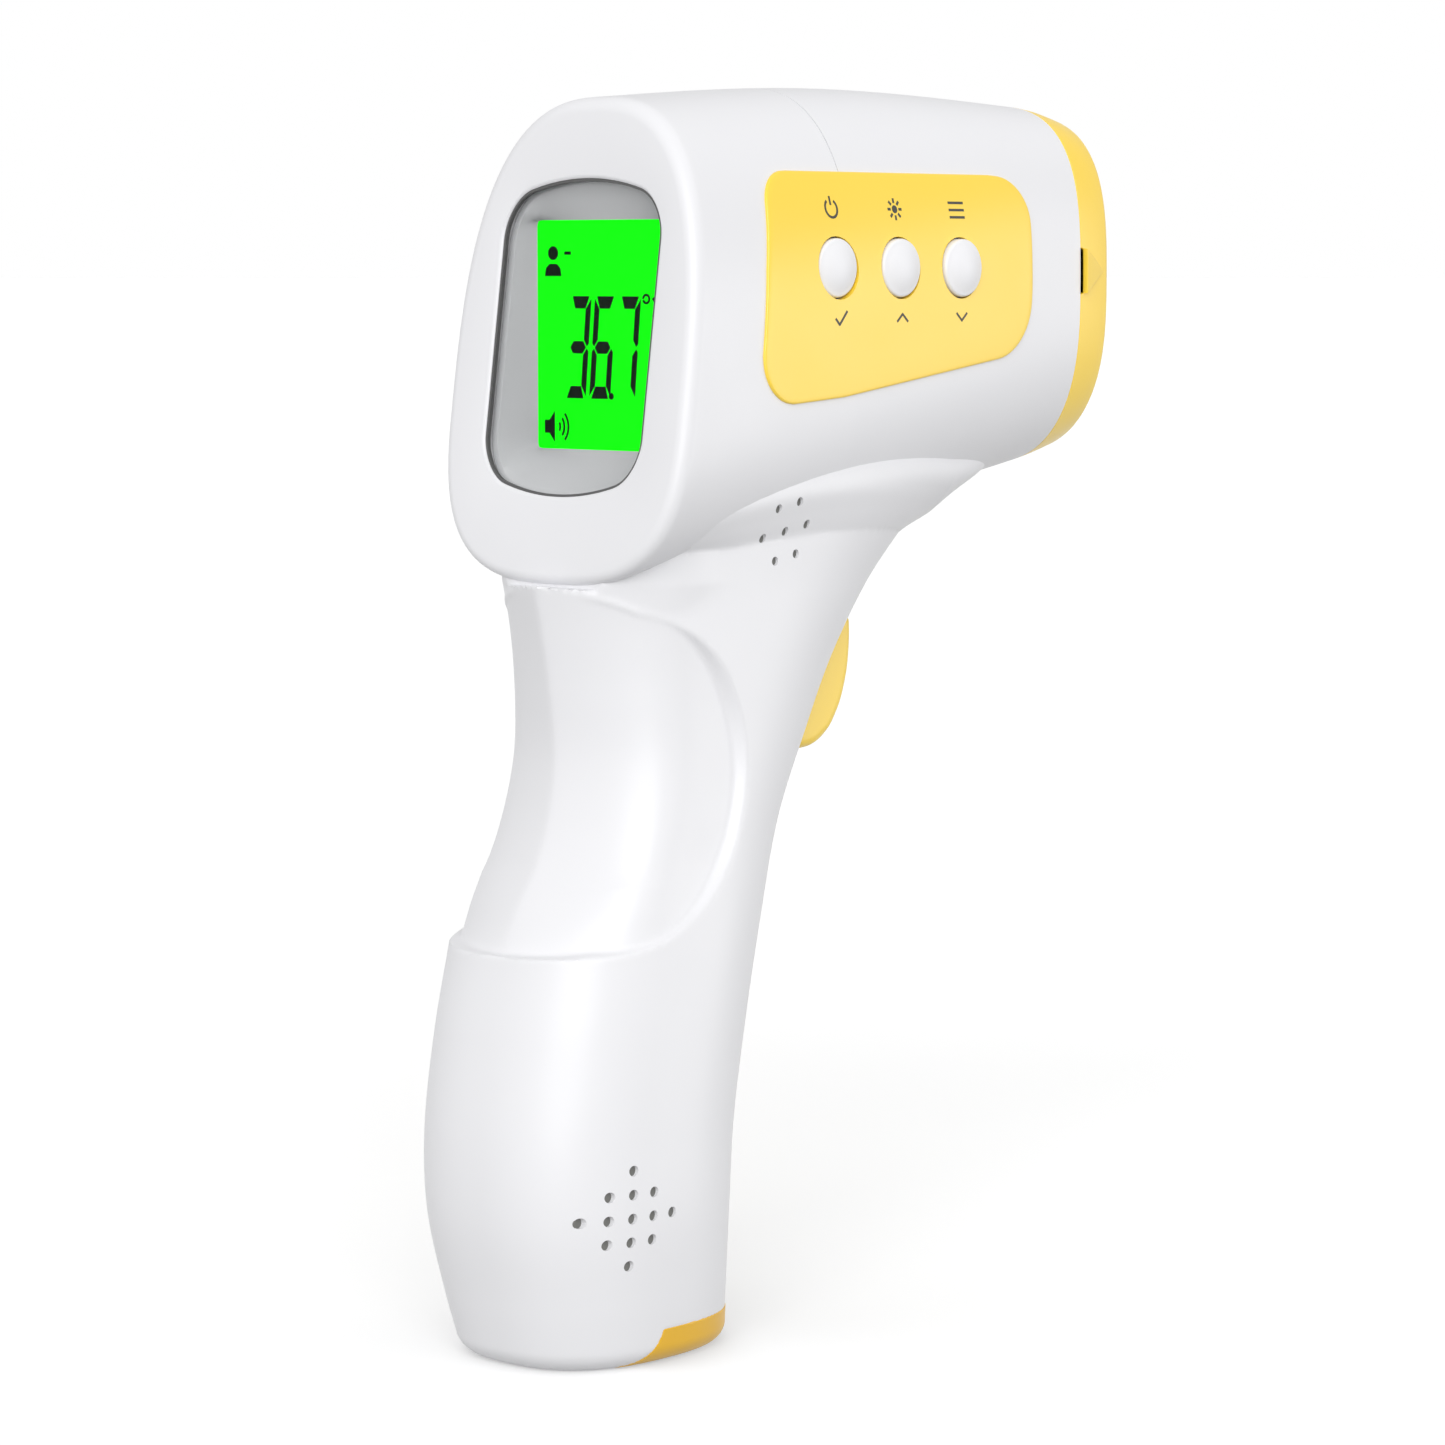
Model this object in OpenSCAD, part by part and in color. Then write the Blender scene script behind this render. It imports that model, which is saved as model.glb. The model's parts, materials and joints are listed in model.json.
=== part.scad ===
// Pistol-shaped infrared thermometer, millimetres.
// +X points out of the nose, +Z is up and the keys are on the -Y side.
// The origin is on the floor, under the middle of the overall box.

/* [Grip] */
// Wall thickness of the grip
grip_wall = 1.8; // [1.4:0.1:2.2]
// Radius round the bottom edge of the grip
base_round = 2.5; // [1.5:0.1:3]
// Height of the top edge of the grip, where the neck fairing starts
grip_top = 99; // [98:0.5:100]
// Length along X of the bevel at the thumb scoop's front edge
scoop_bevel = 3; // [1:0.2:4]

/* [Head] */
// Wall thickness of the head
head_wall = 1.4; // [1.2:0.1:1.8]
// Forward lean of the display face, in degrees
face_lean = 8; // [6:0.5:10]
// Thickness of the display bezel
bezel_t = 3.2; // [2.8:0.1:4]
// Radius round the edge of the display bezel
bezel_round = 1.8; // [1.2:0.1:2.4]
// Position along X of the seam between the housing and the front barrel
seam_x = -3; // [-5:0.5:-1]
// Position along X where the nose ring starts
ring_x = 44; // [43:0.2:45]
// Position along X of the nose's front edge
nose_x = 51.4; // [50:0.2:52]

/* [Keys] */
// Radius of a key
key_r = 3.6; // [3.2:0.1:3.8]
// Distance between two keys
key_pitch = 12.1; // [11:0.1:13]
// Height of the keys above the floor
key_z = 131.6; // [130:0.2:133]
// Travel of a key
key_travel = 0.6; // [0.3:0.1:0.6]

/* [Trigger] */
// Half of the trigger's width
trigger_half = 5; // [4:0.2:5]
// Radius of the trigger's pin
trigger_pin_r = 1; // [0.8:0.1:1.2]

/* [Battery door] */
// Half of the door's width
door_half = 10.5; // [9:0.5:11]
// Height of the door's top edge
door_top = 58; // [56:0.5:60]
// Radius of the door's hinge pin
door_pin_r = 0.9; // [0.7:0.1:1]

/* [Hidden] */
$fn = 32;

white = [0.95, 0.95, 0.96];
yellow = [1, 0.82, 0.3];
dark = [0.16, 0.17, 0.18];
board_green = [0.1, 0.36, 0.2];
steel = [0.75, 0.76, 0.78];
gold = [0.85, 0.68, 0.35];

outer_points = 44;
inner_points = 24;
fit_gap = 0.08;
pin_gap = 0.06;
big = 200;

// Grip stations: height, rear, front, half width
grip_rows = [
    [0, -46.6, -13.8, 13.6],
    [8, -48.8, -14.3, 15],
    [18, -51, -14.4, 16.2],
    [28, -51.2, -13.8, 16.5],
    [40, -49.4, -11.6, 16.5],
    [52, -46.8, -8.6, 16.2],
    [64, -46, -4.5, 15.6],
    [74, -46, 1.2, 15.2],
    [84, -44, 7.3, 15],
    [92, -40, 13.8, 15.1],
    [99, -38, 20.6, 15.5]
];

// Saddle stations between thumb and first finger: height, rear, front, half width
saddle_rows = [
    [46, -47.6, -15, 15.6],
    [54, -44.1, -13, 15.1],
    [60, -40.2, -11, 14.4],
    [66, -37.9, -8, 14.1],
    [73, -36.9, -4, 13.8],
    [81, -37.7, 0, 13.6],
    [88, -39, 4, 13.8],
    [94, -40.4, 8, 14.6]
];

// Neck fairing stations: height, rear, front, half width
fairing_rows = [
    [98, -37.6, 19.6, 15.1],
    [99, -38.2, 20.8, 15.5],
    [101, -46, 24.8, 16.3],
    [104, -58, 31, 17.2],
    [107, -60, 38.3, 16.6],
    [110, -60, 42.5, 14.8]
];

// Barrel stations: x, underside, widest height, crown, half width, exponents below and above
barrel_rows = [
    [-38, 93.5, 115, 151.4, 20.2, 3, 2.7],
    [5, 99.8, 122, 154, 18.6, 2.7, 2.6],
    [44, 105.9, 128.8, 152.7, 17, 2.6, 3.1],
    [51.4, 107.6, 129.2, 151.3, 16.2, 2.6, 3.1]
];

// Smooth value of column k at station s
function row_slope(rows, i, k) =
    let (lo = max(i - 1, 0), hi = min(i + 1, len(rows) - 1))
    (rows[hi][k] - rows[lo][k]) / (rows[hi][0] - rows[lo][0]);
function row_index(rows, s, i = 0) =
    i >= len(rows) - 2 || s < rows[i + 1][0] ? i : row_index(rows, s, i + 1);
function at(rows, s, k) =
    let (i = row_index(rows, s), d = rows[i + 1][0] - rows[i][0], t = (s - rows[i][0]) / d)
    (2 * t ^ 3 - 3 * t ^ 2 + 1) * rows[i][k]
    + (t ^ 3 - 2 * t ^ 2 + t) * d * row_slope(rows, i, k)
    + (3 * t ^ 2 - 2 * t ^ 3) * rows[i + 1][k]
    + (t ^ 3 - t ^ 2) * d * row_slope(rows, i + 1, k);

// Angles of a ring's points; inner walls need fewer than the skin
function ring_angles(inner) =
    let (n = inner ? inner_points : outer_points) [for (i = [0:n - 1]) 360 * i / n];
function bend(v, e) = sign(v) * abs(v) ^ e;
function base_inset(z) = z >= base_round ? 0 : base_round - sqrt(base_round ^ 2 - (base_round - z) ^ 2);

// Horizontal ring at height z, drawn in by inset; keel 1 pinches the rear to a soft ridge
function level_ring(rows, z, inset, inner, keel = 0) =
    let (rear = at(rows, z, 1) + inset, front = at(rows, z, 2) - inset, half = at(rows, z, 3) - inset)
    [for (a = ring_angles(inner))
        let (
            k = cos(a) < 0 ? keel : 0,
            x = (rear + front) / 2 + (front - rear) / 2 * bend(cos(a), 0.8 - 0.4 * k),
            y = half * bend(sin(a), 0.8 + 1.2 * k)
        )
        [x, y, z]];

// Upright ring of the barrel at x
function barrel_ring(x, inset, inner = false) =
    let (
        low = at(barrel_rows, x, 1) + inset,
        mid = at(barrel_rows, x, 2),
        top = at(barrel_rows, x, 3) - inset,
        half = at(barrel_rows, x, 4) - inset
    )
    [for (a = ring_angles(inner))
        let (
            n = at(barrel_rows, x, sin(a) < 0 ? 5 : 6),
            reach = sin(a) < 0 ? mid - low : top - mid
        )
        [x, half * bend(cos(a), 2 / n), mid + reach * bend(sin(a), 2 / n)]];

// Egg-shaped ring of the display face, in the face's own frame: x in, y across, z up the face
face_mid = 22;
face_up = 36.6;
face_half = 20.2;
function face_ring(x, inset) =
    [for (a = ring_angles(false))
        let (
            n = sin(a) < 0 ? 3 : 2.7,
            reach = (sin(a) < 0 ? face_mid : face_up) - inset
        )
        [x, (face_half - inset) * bend(cos(a), 2 / n), face_mid + reach * bend(sin(a), 2 / n)]];

// Closed solid through a list of rings with equal numbers of points
module skin(rings) {
    n = len(rings[0]);
    last = len(rings) - 1;
    points = [for (r = rings) for (p = r) p];
    sides = [for (j = [0:last - 1]) for (i = [0:n - 1])
        let (a = j * n + i, b = j * n + (i + 1) % n)
        each [[a, a + n, b], [b, a + n, b + n]]];
    caps = [[for (i = [0:n - 1]) i], [for (i = [n - 1:-1:0]) last * n + i]];
    polyhedron(points, concat(sides, caps), convexity = 6);
}

// Round bar along Y through p (x and z), reaching half to each side
module across(p, r, half) {
    translate([p[0], 0, p[1]]) rotate([90, 0, 0]) cylinder(h = 2 * half, r = r, center = true);
}

// One continuous moulded shape
module moulded() {
    resize([0, 0, 0]) children();
}

// ---- Outer forms ----

module grip_form(inset) {
    foot = [for (a = [0:30:60]) base_round * (1 - cos(a))];
    heights = [each inset > 0 ? [inset] : foot, base_round, each [6:5:96], grip_top];
    rounding = inset > 0 ? 0 : 1;
    skin([for (z = heights) level_ring(grip_rows, z, inset + rounding * base_inset(z), inset > 1)]);
}

module saddle_form(inset) {
    skin([for (z = [46:4:94]) level_ring(saddle_rows, z, inset, inset > 1, min(1, (z - 46) / 12))]);
}

module fairing_form(inset) {
    skin([for (z = [98, 99, each [100:2:110]]) level_ring(fairing_rows, z, inset, inset > 1)]);
}

module barrel_form(inset, from, to) {
    step = (to - from) / ceil((to - from) / 6);
    skin([for (x = [from:step:to + 0.001]) barrel_ring(x, inset, inset > 1)]);
}

// The thumb scoop is an ellipse seen from the side. It moves back as it goes deeper,
// which leaves a bevel along its front edge.
scoop_x = -46.4;
scoop_z = 72.3;
scoop_rx = 27;
scoop_rz = 22.4;
scoop_rim_y = 14.5;
scoop_floor_y = 11;
module scoop_prism(deep, height) {
    rotate([90, 0, 0]) translate([0, 0, deep])
        scale([scoop_rx / scoop_rz, 1, 1]) cylinder(h = height, r = scoop_rz, $fn = 72);
}
module scoop(side) {
    lean = scoop_bevel / (scoop_rim_y - scoop_floor_y);
    translate([scoop_x, 0, scoop_z]) scale([1, side, 1]) {
        multmatrix([[1, -lean, 0, -lean * scoop_rim_y], [0, 1, 0, 0], [0, 0, 1, 0]])
            scoop_prism(scoop_floor_y, 10);
        translate([-scoop_bevel, 0, 0]) scoop_prism(-1, scoop_floor_y + 1.01);
    }
}

module grip_outer() {
    difference() {
        grip_form(0);
        scoop(1);
        scoop(-1);
    }
    saddle_form(0);
}

// ---- Display face ----

// Lower edge of the display face
face_x = -37.9;
face_z = 93.5;

// Places children in the display face's frame
module on_face() {
    translate([face_x, 0, face_z]) rotate([0, face_lean, 0]) children();
}

// Everything in front of a plane a depth behind the display face
module behind_face(depth) {
    on_face() translate([depth, -big / 2, -big / 2]) cube(big);
}

// Extrudes a face outline (x across, y up the face) from depth a to depth b
module face_extrude(a, b) {
    translate([a, 0, 0]) rotate([90, 0, 90]) linear_extrude(b - a) children();
}

window_half = 13;
window_low = 11;
window_high = 49.3;
window_arch = 32;
module window_outline(grow) {
    offset(4 + grow) offset(-4) intersection() {
        translate([-window_half, 0]) square([2 * window_half, 60]);
        translate([0, window_high - window_arch]) circle(window_arch, $fn = 96);
        translate([0, window_low + window_arch]) circle(window_arch, $fn = 96);
    }
}

// The display glass stands upright behind the leaning window
lcd_x = -26.9;
lcd_low = 109.6;
lcd_high = 137.4;
lcd_half = 12;
module lcd_plate(x, thick, grow) {
    translate([x, -lcd_half - grow, lcd_low - grow])
        cube([thick, 2 * (lcd_half + grow), lcd_high - lcd_low + 2 * grow]);
}

// ---- Side panels and keys ----

// Outline of a side panel, seen from the side: x along, y up
module panel_outline(grow) {
    offset(grow) hull() {
        translate([-13.2, 138.3]) circle(5);
        translate([27, 137.2]) circle(6);
        translate([24.9, 128]) circle(8);
        translate([-15.3, 121]) circle(5.7);
    }
}

// The region of a side panel between two depths below the barrel's skin
module panel_sheet(side, grow, out, deep) {
    intersection() {
        difference() {
            barrel_form(-out, -24, 36);
            barrel_form(deep, -25, 37);
        }
        scale([1, side, 1]) rotate([90, 0, 0]) linear_extrude(30) panel_outline(grow);
    }
}

panel_proud = 0.35;
panel_deep = 0.6;
key_x = [for (i = [0:2]) -6.4 + i * key_pitch];
key_top_y = -19.55;
key_inner_y = -15.4;
module key_holes(r) {
    for (x = key_x) translate([x, -14, key_z]) rotate([90, 0, 0]) cylinder(h = 10, r = r);
}

// Domed cap, flange and stem; each key slides along Y
module key(i) {
    color(white) translate([key_x[i], 0, key_z]) rotate([90, 0, 0]) {
        translate([0, 0, -key_inner_y]) cylinder(h = 1, r = key_r + 0.6);
        translate([0, 0, -key_inner_y]) cylinder(h = -key_top_y + key_inner_y - 1, r = key_r);
        intersection() {
            translate([0, 0, -key_top_y - 7]) sphere(7, $fn = 48);
            translate([0, 0, -key_inner_y]) cylinder(h = 8, r = key_r);
        }
    }
}

// ---- Sound holes ----

buzzer_x = -12.7;
buzzer_z = 99.8;
module buzzer_holes() {
    translate([buzzer_x, -8, buzzer_z]) rotate([90, 0, 0]) {
        cylinder(h = 12, r = 0.55, $fn = 10);
        for (a = [11:60:311]) rotate([0, 0, a]) translate([3.8, 0, 0]) cylinder(h = 12, r = 0.55, $fn = 10);
    }
}

speaker_x = -39.8;
speaker_z = 19.2;
module speaker_holes() {
    for (a = [-2:2], b = [-2:2]) if (abs(a) + abs(b) <= 2)
        translate([speaker_x + 3.1 * a, -5, speaker_z + 2.9 * b])
            rotate([90, 0, 0]) cylinder(h = 14, r = 0.65, $fn = 10);
}

// ---- Housing ----

module toe_region(grow) {
    difference() {
        translate([-38, -20, -1]) cube([40, 40, 5.6 + grow]);
        translate([-38 - grow, 0, 5.5]) rotate([90, 0, 0]) cylinder(h = 50, r = 5, center = true);
    }
}

door_low = 8;
door_wall = 1.5;
door_gap = 0.25;
door_corner = 3;
module door_region(grow) {
    translate([-24, 0, 0]) face_extrude(0, 40) offset(door_corner + grow) offset(-door_corner)
        translate([-door_half, door_low]) square([2 * door_half, door_top - door_low]);
}

// Radius of the space that the door's curved lower edge swings through, across the grip
swing_profile = [[0, -10.6], [2.2, -9.1], [3.2, -7.5], [3.8, -5.5], [4.2, -4],
    [4.2, 4], [3.8, 5.5], [3.2, 7.5], [2.2, 9.1], [0, 10.6]];

// Opening for the door, with that space round its hinge
module door_opening() {
    difference() {
        door_region(door_gap);
        grip_form(door_wall + 0.4);
    }
    translate([door_pivot[0], 0, door_pivot[1]]) rotate([90, 0, 0])
        rotate_extrude($fn = 48) polygon(swing_profile);
}

// Lug inside the grip that carries the middle of the door's pin
door_bore_half = 7;
lug_half = 3;
module door_lug() {
    p = door_pivot;
    rotate([90, 0, 0]) linear_extrude(2 * lug_half, center = true) {
        translate(p) circle(1.5);
        translate([p[0] - 2.4, p[1]]) square([2.4, 1.5]);
        translate([p[0] - 2.4, 4.8]) square([1.2, p[1] - 3.3]);
    }
}

trigger_low = 70.4;
trigger_high = 88.6;
trigger_side_gap = 0.35;
module trigger_slot() {
    half = trigger_half + trigger_side_gap;
    translate([-6, -half, trigger_low]) cube([30, 2 * half, trigger_high - trigger_low]);
}

// Grip, neck and the rear of the head, with the front barrel's space cut out
module housing_solid() {
    difference() {
        union() {
            grip_outer();
            fairing_form(0);
        }
        barrel_form(-fit_gap, seam_x, 44);
        barrel_form(0.5, -40, seam_x + 0.1);
        on_face() translate([-40, -30, -0.1]) cube([40 + bezel_t + 0.1, 60, 20]);
    }
    intersection() {
        barrel_form(0, -40, seam_x);
        behind_face(bezel_t + 0.1);
    }
}

module housing_cavity() {
    difference() {
        union() {
            intersection() {
                grip_form(grip_wall);
                below_saddle();
            }
            saddle_form(grip_wall);
            neck_cavity();
        }
        toe_wall();
    }
    intersection() {
        barrel_form(head_wall, -41, seam_x + 1);
        behind_face(bezel_t - 1);
    }
}

module below_saddle() {
    translate([-60, -20, 0]) cube([60, 40, 48]);
    translate([-22, -20, 0]) cube([60, 40, grip_top + 5]);
}

// Inner space of the neck, open to the head behind the seam
module neck_cavity() {
    intersection() {
        fairing_form(grip_wall);
        translate([-40, -20, 90]) cube([38, 40, 20]);
    }
}

// Floor that closes the grip above the toe
module toe_wall() {
    translate([-40, -20, 4]) cube([30, 40, 1.6]);
}

screw_spots = [[-41, 6.6], [-27, 67], [-27, 91], [-10, 147.4]];
module screw_posts() {
    for (p = screw_spots) across(p, 2.6, 17);
}

module pivot_posts(p, r, from) {
    for (s = [-1, 1]) translate([0, s * (from + 6), 0]) across(p, r, 6);
}

trigger_pivot = [6.6, 92];
door_pivot = [-17.8, 9.6];
screw_head_y = 9;
module housing_body() {
    difference() {
        union() {
            difference() {
                housing_solid();
                difference() {
                    housing_cavity();
                    screw_posts();
                    pivot_posts(trigger_pivot, 2.6, 5.6);
                }
                toe_region(fit_gap);
                door_opening();
            }
            door_lug();
        }
        trigger_slot();
        for (s = [-1, 1]) panel_sheet(s, fit_gap, 2, panel_deep + fit_gap);
        key_holes(key_r + 0.3);
        translate([0, 5, 0]) key_holes(key_r + 0.9);
        buzzer_holes();
        speaker_holes();
        screw_bores();
        across(trigger_pivot, trigger_pin_r, 8.6);
        across(door_pivot, door_pin_r, door_bore_half);
    }
}

// Screw holes: driven from the left, with a counterbore for each head
module screw_bores() {
    for (p = screw_spots) translate([p[0], 0, p[1]]) rotate([90, 0, 0]) {
        cylinder(h = 16, r = 0.95, center = true);
        translate([0, 0, -screw_head_y - 20]) cylinder(h = 20, r = 2);
        translate([0, 0, -screw_head_y - 1]) cylinder(h = 9, r = 1.25);
    }
}

module housing_half(side) {
    color(white) moulded() intersection() {
        housing_body();
        translate([-big / 2, side < 0 ? -big : 0, -1]) cube(big);
    }
}
module housing_right() {
    housing_half(-1);
}
module housing_left() {
    housing_half(1);
}

// ---- Head ----

// White sleeve in front of the seam, with a spigot that enters the housing
module front_barrel() {
    color(white) moulded() difference() {
        union() {
            barrel_form(0, seam_x + 0.1, ring_x - 0.05);
            barrel_form(head_wall + 0.1, seam_x - 3, seam_x + 2);
        }
        barrel_form(head_wall, seam_x + 2, ring_x + 1);
        barrel_form(head_wall + 1.1, seam_x - 4, seam_x + 3);
        for (s = [-1, 1]) panel_sheet(s, fit_gap, 2, panel_deep + fit_gap);
        key_holes(key_r + 0.3);
        translate([0, 5, 0]) key_holes(key_r + 0.9);
        screw_clearance();
    }
}

// Keeps the spigot clear of the upper screw post
module screw_clearance() {
    across(screw_spots[3], 2.9, 20);
}

nose_rim = 2.6;
nose_round = 1.4;
nose_z = 129.2;

// Yellow ring round the nose, with a rounded front edge
module nose_ring() {
    edge = [for (a = [0:22.5:90]) [nose_x - nose_round * (1 - sin(a)), nose_round * (1 - cos(a))]];
    rings = [[ring_x, 0], [46, 0], [48, 0], each edge];
    color(yellow) moulded() {
        difference() {
            skin([for (r = rings) barrel_ring(r[0], r[1])]);
            barrel_form(nose_rim, ring_x - 1, nose_x + 1);
        }
        for (s = [-1, 1]) scale([1, s, 1]) wedge();
    }
}

// Small pointer on the side of the nose ring, thickest at its rear edge
module wedge() {
    intersection() {
        translate([ring_x, 0, 131.2]) rotate([90, 0, 0])
            linear_extrude(30) polygon([[0.1, -2.8], [0.1, 2.8], [4.9, 0]]);
        difference() {
            barrel_form(-0.6, ring_x, nose_x);
            barrel_form(1, ring_x - 1, nose_x + 1);
        }
        translate([ring_x, -16.4, 120]) rotate([0, 0, 7]) cube([8, 10, 20]);
    }
}

// Dark funnel behind the nose's mouth
hood_x = 46.4;
hood_back = 37;
hood_mouth_r = 12.6;
sensor_r = 5.4;
module sensor_hood() {
    color(dark) moulded() difference() {
        union() {
            barrel_form(nose_rim + 0.1, hood_x, hood_x + 1.6);
            translate([hood_back, 0, nose_z]) rotate([0, 90, 0])
                cylinder(h = hood_x - hood_back + 0.5, r1 = sensor_r + 2.6, r2 = hood_mouth_r + 1.4,
                    $fn = 64);
        }
        translate([hood_back + 1.4, 0, nose_z]) rotate([0, 90, 0])
            cylinder(h = hood_x - hood_back + 0.3, r1 = sensor_r + 0.8, r2 = hood_mouth_r, $fn = 64);
        translate([hood_back - 1, 0, nose_z]) rotate([0, 90, 0]) cylinder(h = 5, r = sensor_r + fit_gap);
    }
}

module along_nose(x) {
    translate([x, 0, nose_z]) rotate([0, 90, 0]) children();
}

// Metal tube that carries the sensor
module sensor_barrel() {
    color(steel) along_nose(27) difference() {
        cylinder(h = 13, r = sensor_r);
        translate([0, 0, -1]) cylinder(h = 15, r = 4.1);
    }
}

module thermopile_can() {
    color(steel) along_nose(28) {
        cylinder(h = 0.6, r = 4);
        cylinder(h = 4, r = 3.6);
        for (a = [45:90:315]) rotate([0, 0, a]) translate([1.8, 0, -4]) cylinder(h = 4.2, r = 0.25);
    }
}

module sensor_window() {
    color(dark) along_nose(37.6) cylinder(h = 0.8, r = 4);
}

// ---- Display ----

// Rounded plate with the window; the lens sits in a step round the window
module display_bezel() {
    edge = [for (a = [0:22.5:90]) [bezel_round * (1 - sin(a)), bezel_round * (1 - cos(a))]];
    color(white) moulded() on_face() difference() {
        skin([for (i = [4:-1:0]) face_ring(edge[i][0], edge[i][1]), face_ring(bezel_t, 0)]);
        face_extrude(-1, bezel_t + 1) window_outline(0);
        face_extrude(0.9, bezel_t + 1) window_outline(0.8);
    }
}

module display_lens() {
    color([0.85, 0.9, 0.9, 0.3]) moulded() on_face() face_extrude(0.95, 1.95) window_outline(0.7);
}

// Sloping light-grey well between the window and the display glass
module display_well() {
    color([0.8, 0.81, 0.82]) moulded() difference() {
        intersection() {
            on_face() face_extrude(bezel_t + 0.05, 14) window_outline(1.6);
            translate([lcd_x - 20.05, -20, 90]) cube([20, 40, 60]);
        }
        hull() {
            on_face() face_extrude(bezel_t - 0.1, bezel_t + 0.1) window_outline(0.2);
            lcd_plate(lcd_x - 0.1, 0.1, 0);
        }
    }
}

module lcd_panel() {
    color([0.1, 1, 0.05]) lcd_plate(lcd_x, 2.4, 1.2);
}

module backlight_plate() {
    color(white) lcd_plate(lcd_x + 2.5, 2.6, 0.8);
}

board_x = -19;
board_t = 1.6;
board_half = 14;
board_low = 104;
board_high = 142;
board_holes = [[-11.4, 106.6], [11.4, 106.6], [-11.4, 139.4], [11.4, 139.4]];
module board_hole(p, from, length, r) {
    translate([from, p[0], p[1]]) rotate([0, 90, 0]) cylinder(h = length, r = r);
}
module main_board() {
    color(board_green) difference() {
        translate([board_x, -board_half, board_low]) cube([board_t, 2 * board_half, board_high - board_low]);
        for (p = board_holes) board_hole(p, board_x - 1, 4, 0.9);
    }
}

// Chips and connectors on the front of the main board: y, z, width, height, thickness
component_boxes = [
    [-5, 120, 10, 10, 1.6],
    [-11, 112, 5, 4, 1.2],
    [6, 111, 6, 3.5, 1.4],
    [8, 126, 4, 6, 2.4]
];
module board_components() {
    back = board_x + board_t;
    color(dark) {
        for (c = component_boxes) translate([back, c[0], c[1]]) cube([c[4], c[2], c[3]]);
        translate([back + 1.6, 6, 137]) rotate([90, 0, 0]) cylinder(h = 5, r = 1.6);
    }
}

module board_screws() {
    color(steel) for (p = board_holes) {
        board_hole(p, board_x + board_t, 1.2, 1.7);
        board_hole(p, board_x - 2.6, board_t + 2.8, 0.85);
    }
}

// ---- Side panels and keyboard ----

module button_panel() {
    color(yellow) moulded() difference() {
        panel_sheet(1, 0, panel_proud, panel_deep);
        key_holes(key_r + 0.25);
    }
}

module side_panel_left() {
    color(yellow) moulded() panel_sheet(-1, 0, panel_proud, panel_deep);
}

module mode_button() {
    key(0);
}
module set_button() {
    key(1);
}
module memory_button() {
    key(2);
}

key_board_y = -11.4;
module key_board() {
    color(board_green) translate([key_x[0] - 6, key_board_y, key_z - 6])
        cube([2 * key_pitch + 12, 1.2, 12]);
}

module key_switches() {
    color(dark) for (x = key_x) translate([x, key_board_y, key_z]) rotate([90, 0, 0]) {
        translate([-3, -3, 0]) cube([6, 6, 2.2]);
        cylinder(h = -key_inner_y + key_board_y - key_travel - 0.1, r = 1.7);
    }
}

// Flat cable from the key board back to the main board
module ribbon_cable() {
    path = [[-12.75, -10.8], [-15, -10], [-17.1, -9]];
    color(white) translate([0, 0, key_z - 4]) for (i = [0:1]) hull() {
        translate(path[i]) cylinder(h = 8, r = 0.25, $fn = 12);
        translate(path[i + 1]) cylinder(h = 8, r = 0.25, $fn = 12);
    }
}

// ---- Trigger ----

// Side outline of the trigger: x along, z up; the finger side faces +X
trigger_outline = [[4.2, 88], [12.9, 87.9], [13.1, 85], [12.6, 80.5], [11.2, 76.4], [9, 73.2], [6, 71.3],
    [3.4, 70.9], [0.6, 71], [-0.4, 73], [-0.2, 79]];
module trigger() {
    p = trigger_pivot;
    color(yellow) moulded() difference() {
        union() {
            hull() {
                trigger_slice(trigger_half - 1.6, 0);
                trigger_slice(trigger_half, 1.6);
            }
            across(p, 2.2, trigger_half);
            translate([p[0] - 2, -trigger_half, 86]) cube([2.6, 2 * trigger_half, 5]);
        }
        across(p, trigger_pin_r + pin_gap, trigger_half + 1);
        across(p, 3, 2.5);
        translate([p[0] - 4, -2.5, p[1] - 6]) cube([4, 5, 6]);
    }
}

// Slab of the trigger's outline, w wide to each side and drawn in by inset
module trigger_slice(w, inset) {
    rotate([90, 0, 0]) linear_extrude(2 * w, center = true) offset(-inset) polygon(trigger_outline);
}

module trigger_pin() {
    color(steel) across(trigger_pivot, trigger_pin_r, 8);
}

// Torsion spring: a coil round the pin with a straight leg at each end
spring_r = 1.75;
spring_wire = 0.3;
spring_leg = 4;
module trigger_spring() {
    from = -90;
    to = 1230;
    tangent = function(a) [-sin(a), 0, cos(a)];
    ring = function(a, along) [for (b = [0:60:300])
        (spring_r + spring_wire * cos(b)) * [cos(a), 0, sin(a)]
        + [0, spring_wire * sin(b) + (a - (from + to) / 2) * 0.8 / 360, 0]
        + along * tangent(a)];
    color(steel) moulded() translate([trigger_pivot[0], 0, trigger_pivot[1]])
        skin([ring(from, -spring_leg), for (a = [from:30:to]) ring(a, 0), ring(to, spring_leg)]);
}

module trigger_switch() {
    color(dark) translate([-9.6, -3, 73]) cube([6, 6, 6]);
    color(steel) translate([-3.6, 0, 76]) rotate([0, 90, 0]) cylinder(h = 1.1, r = 1.4);
}

// ---- Battery compartment ----

// Curved door on the front of the grip; it turns forward about a pin near its lower edge
module battery_door() {
    p = door_pivot;
    color(yellow) moulded() difference() {
        union() {
            intersection() {
                difference() {
                    grip_form(0);
                    grip_form(door_wall);
                }
                door_region(0);
            }
            for (y = [-6, 3.4]) translate([p[0], y, p[1]]) {
                translate([0, 2.6, 0]) rotate([90, 0, 0]) cylinder(h = 2.6, r = 1.5);
                translate([0, 0, -0.9]) cube([2.6, 2.6, 1.8]);
            }
            latch();
        }
        across(p, door_pin_r + pin_gap, door_bore_half);
    }
}

// Snap tongue behind the door's top edge
module latch() {
    hull() {
        translate([-11, -3, door_top - 7]) cube([1.8, 6, 1]);
        translate([-9.6, -3, door_top - 0.9]) cube([1, 6, 1]);
    }
}

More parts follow.
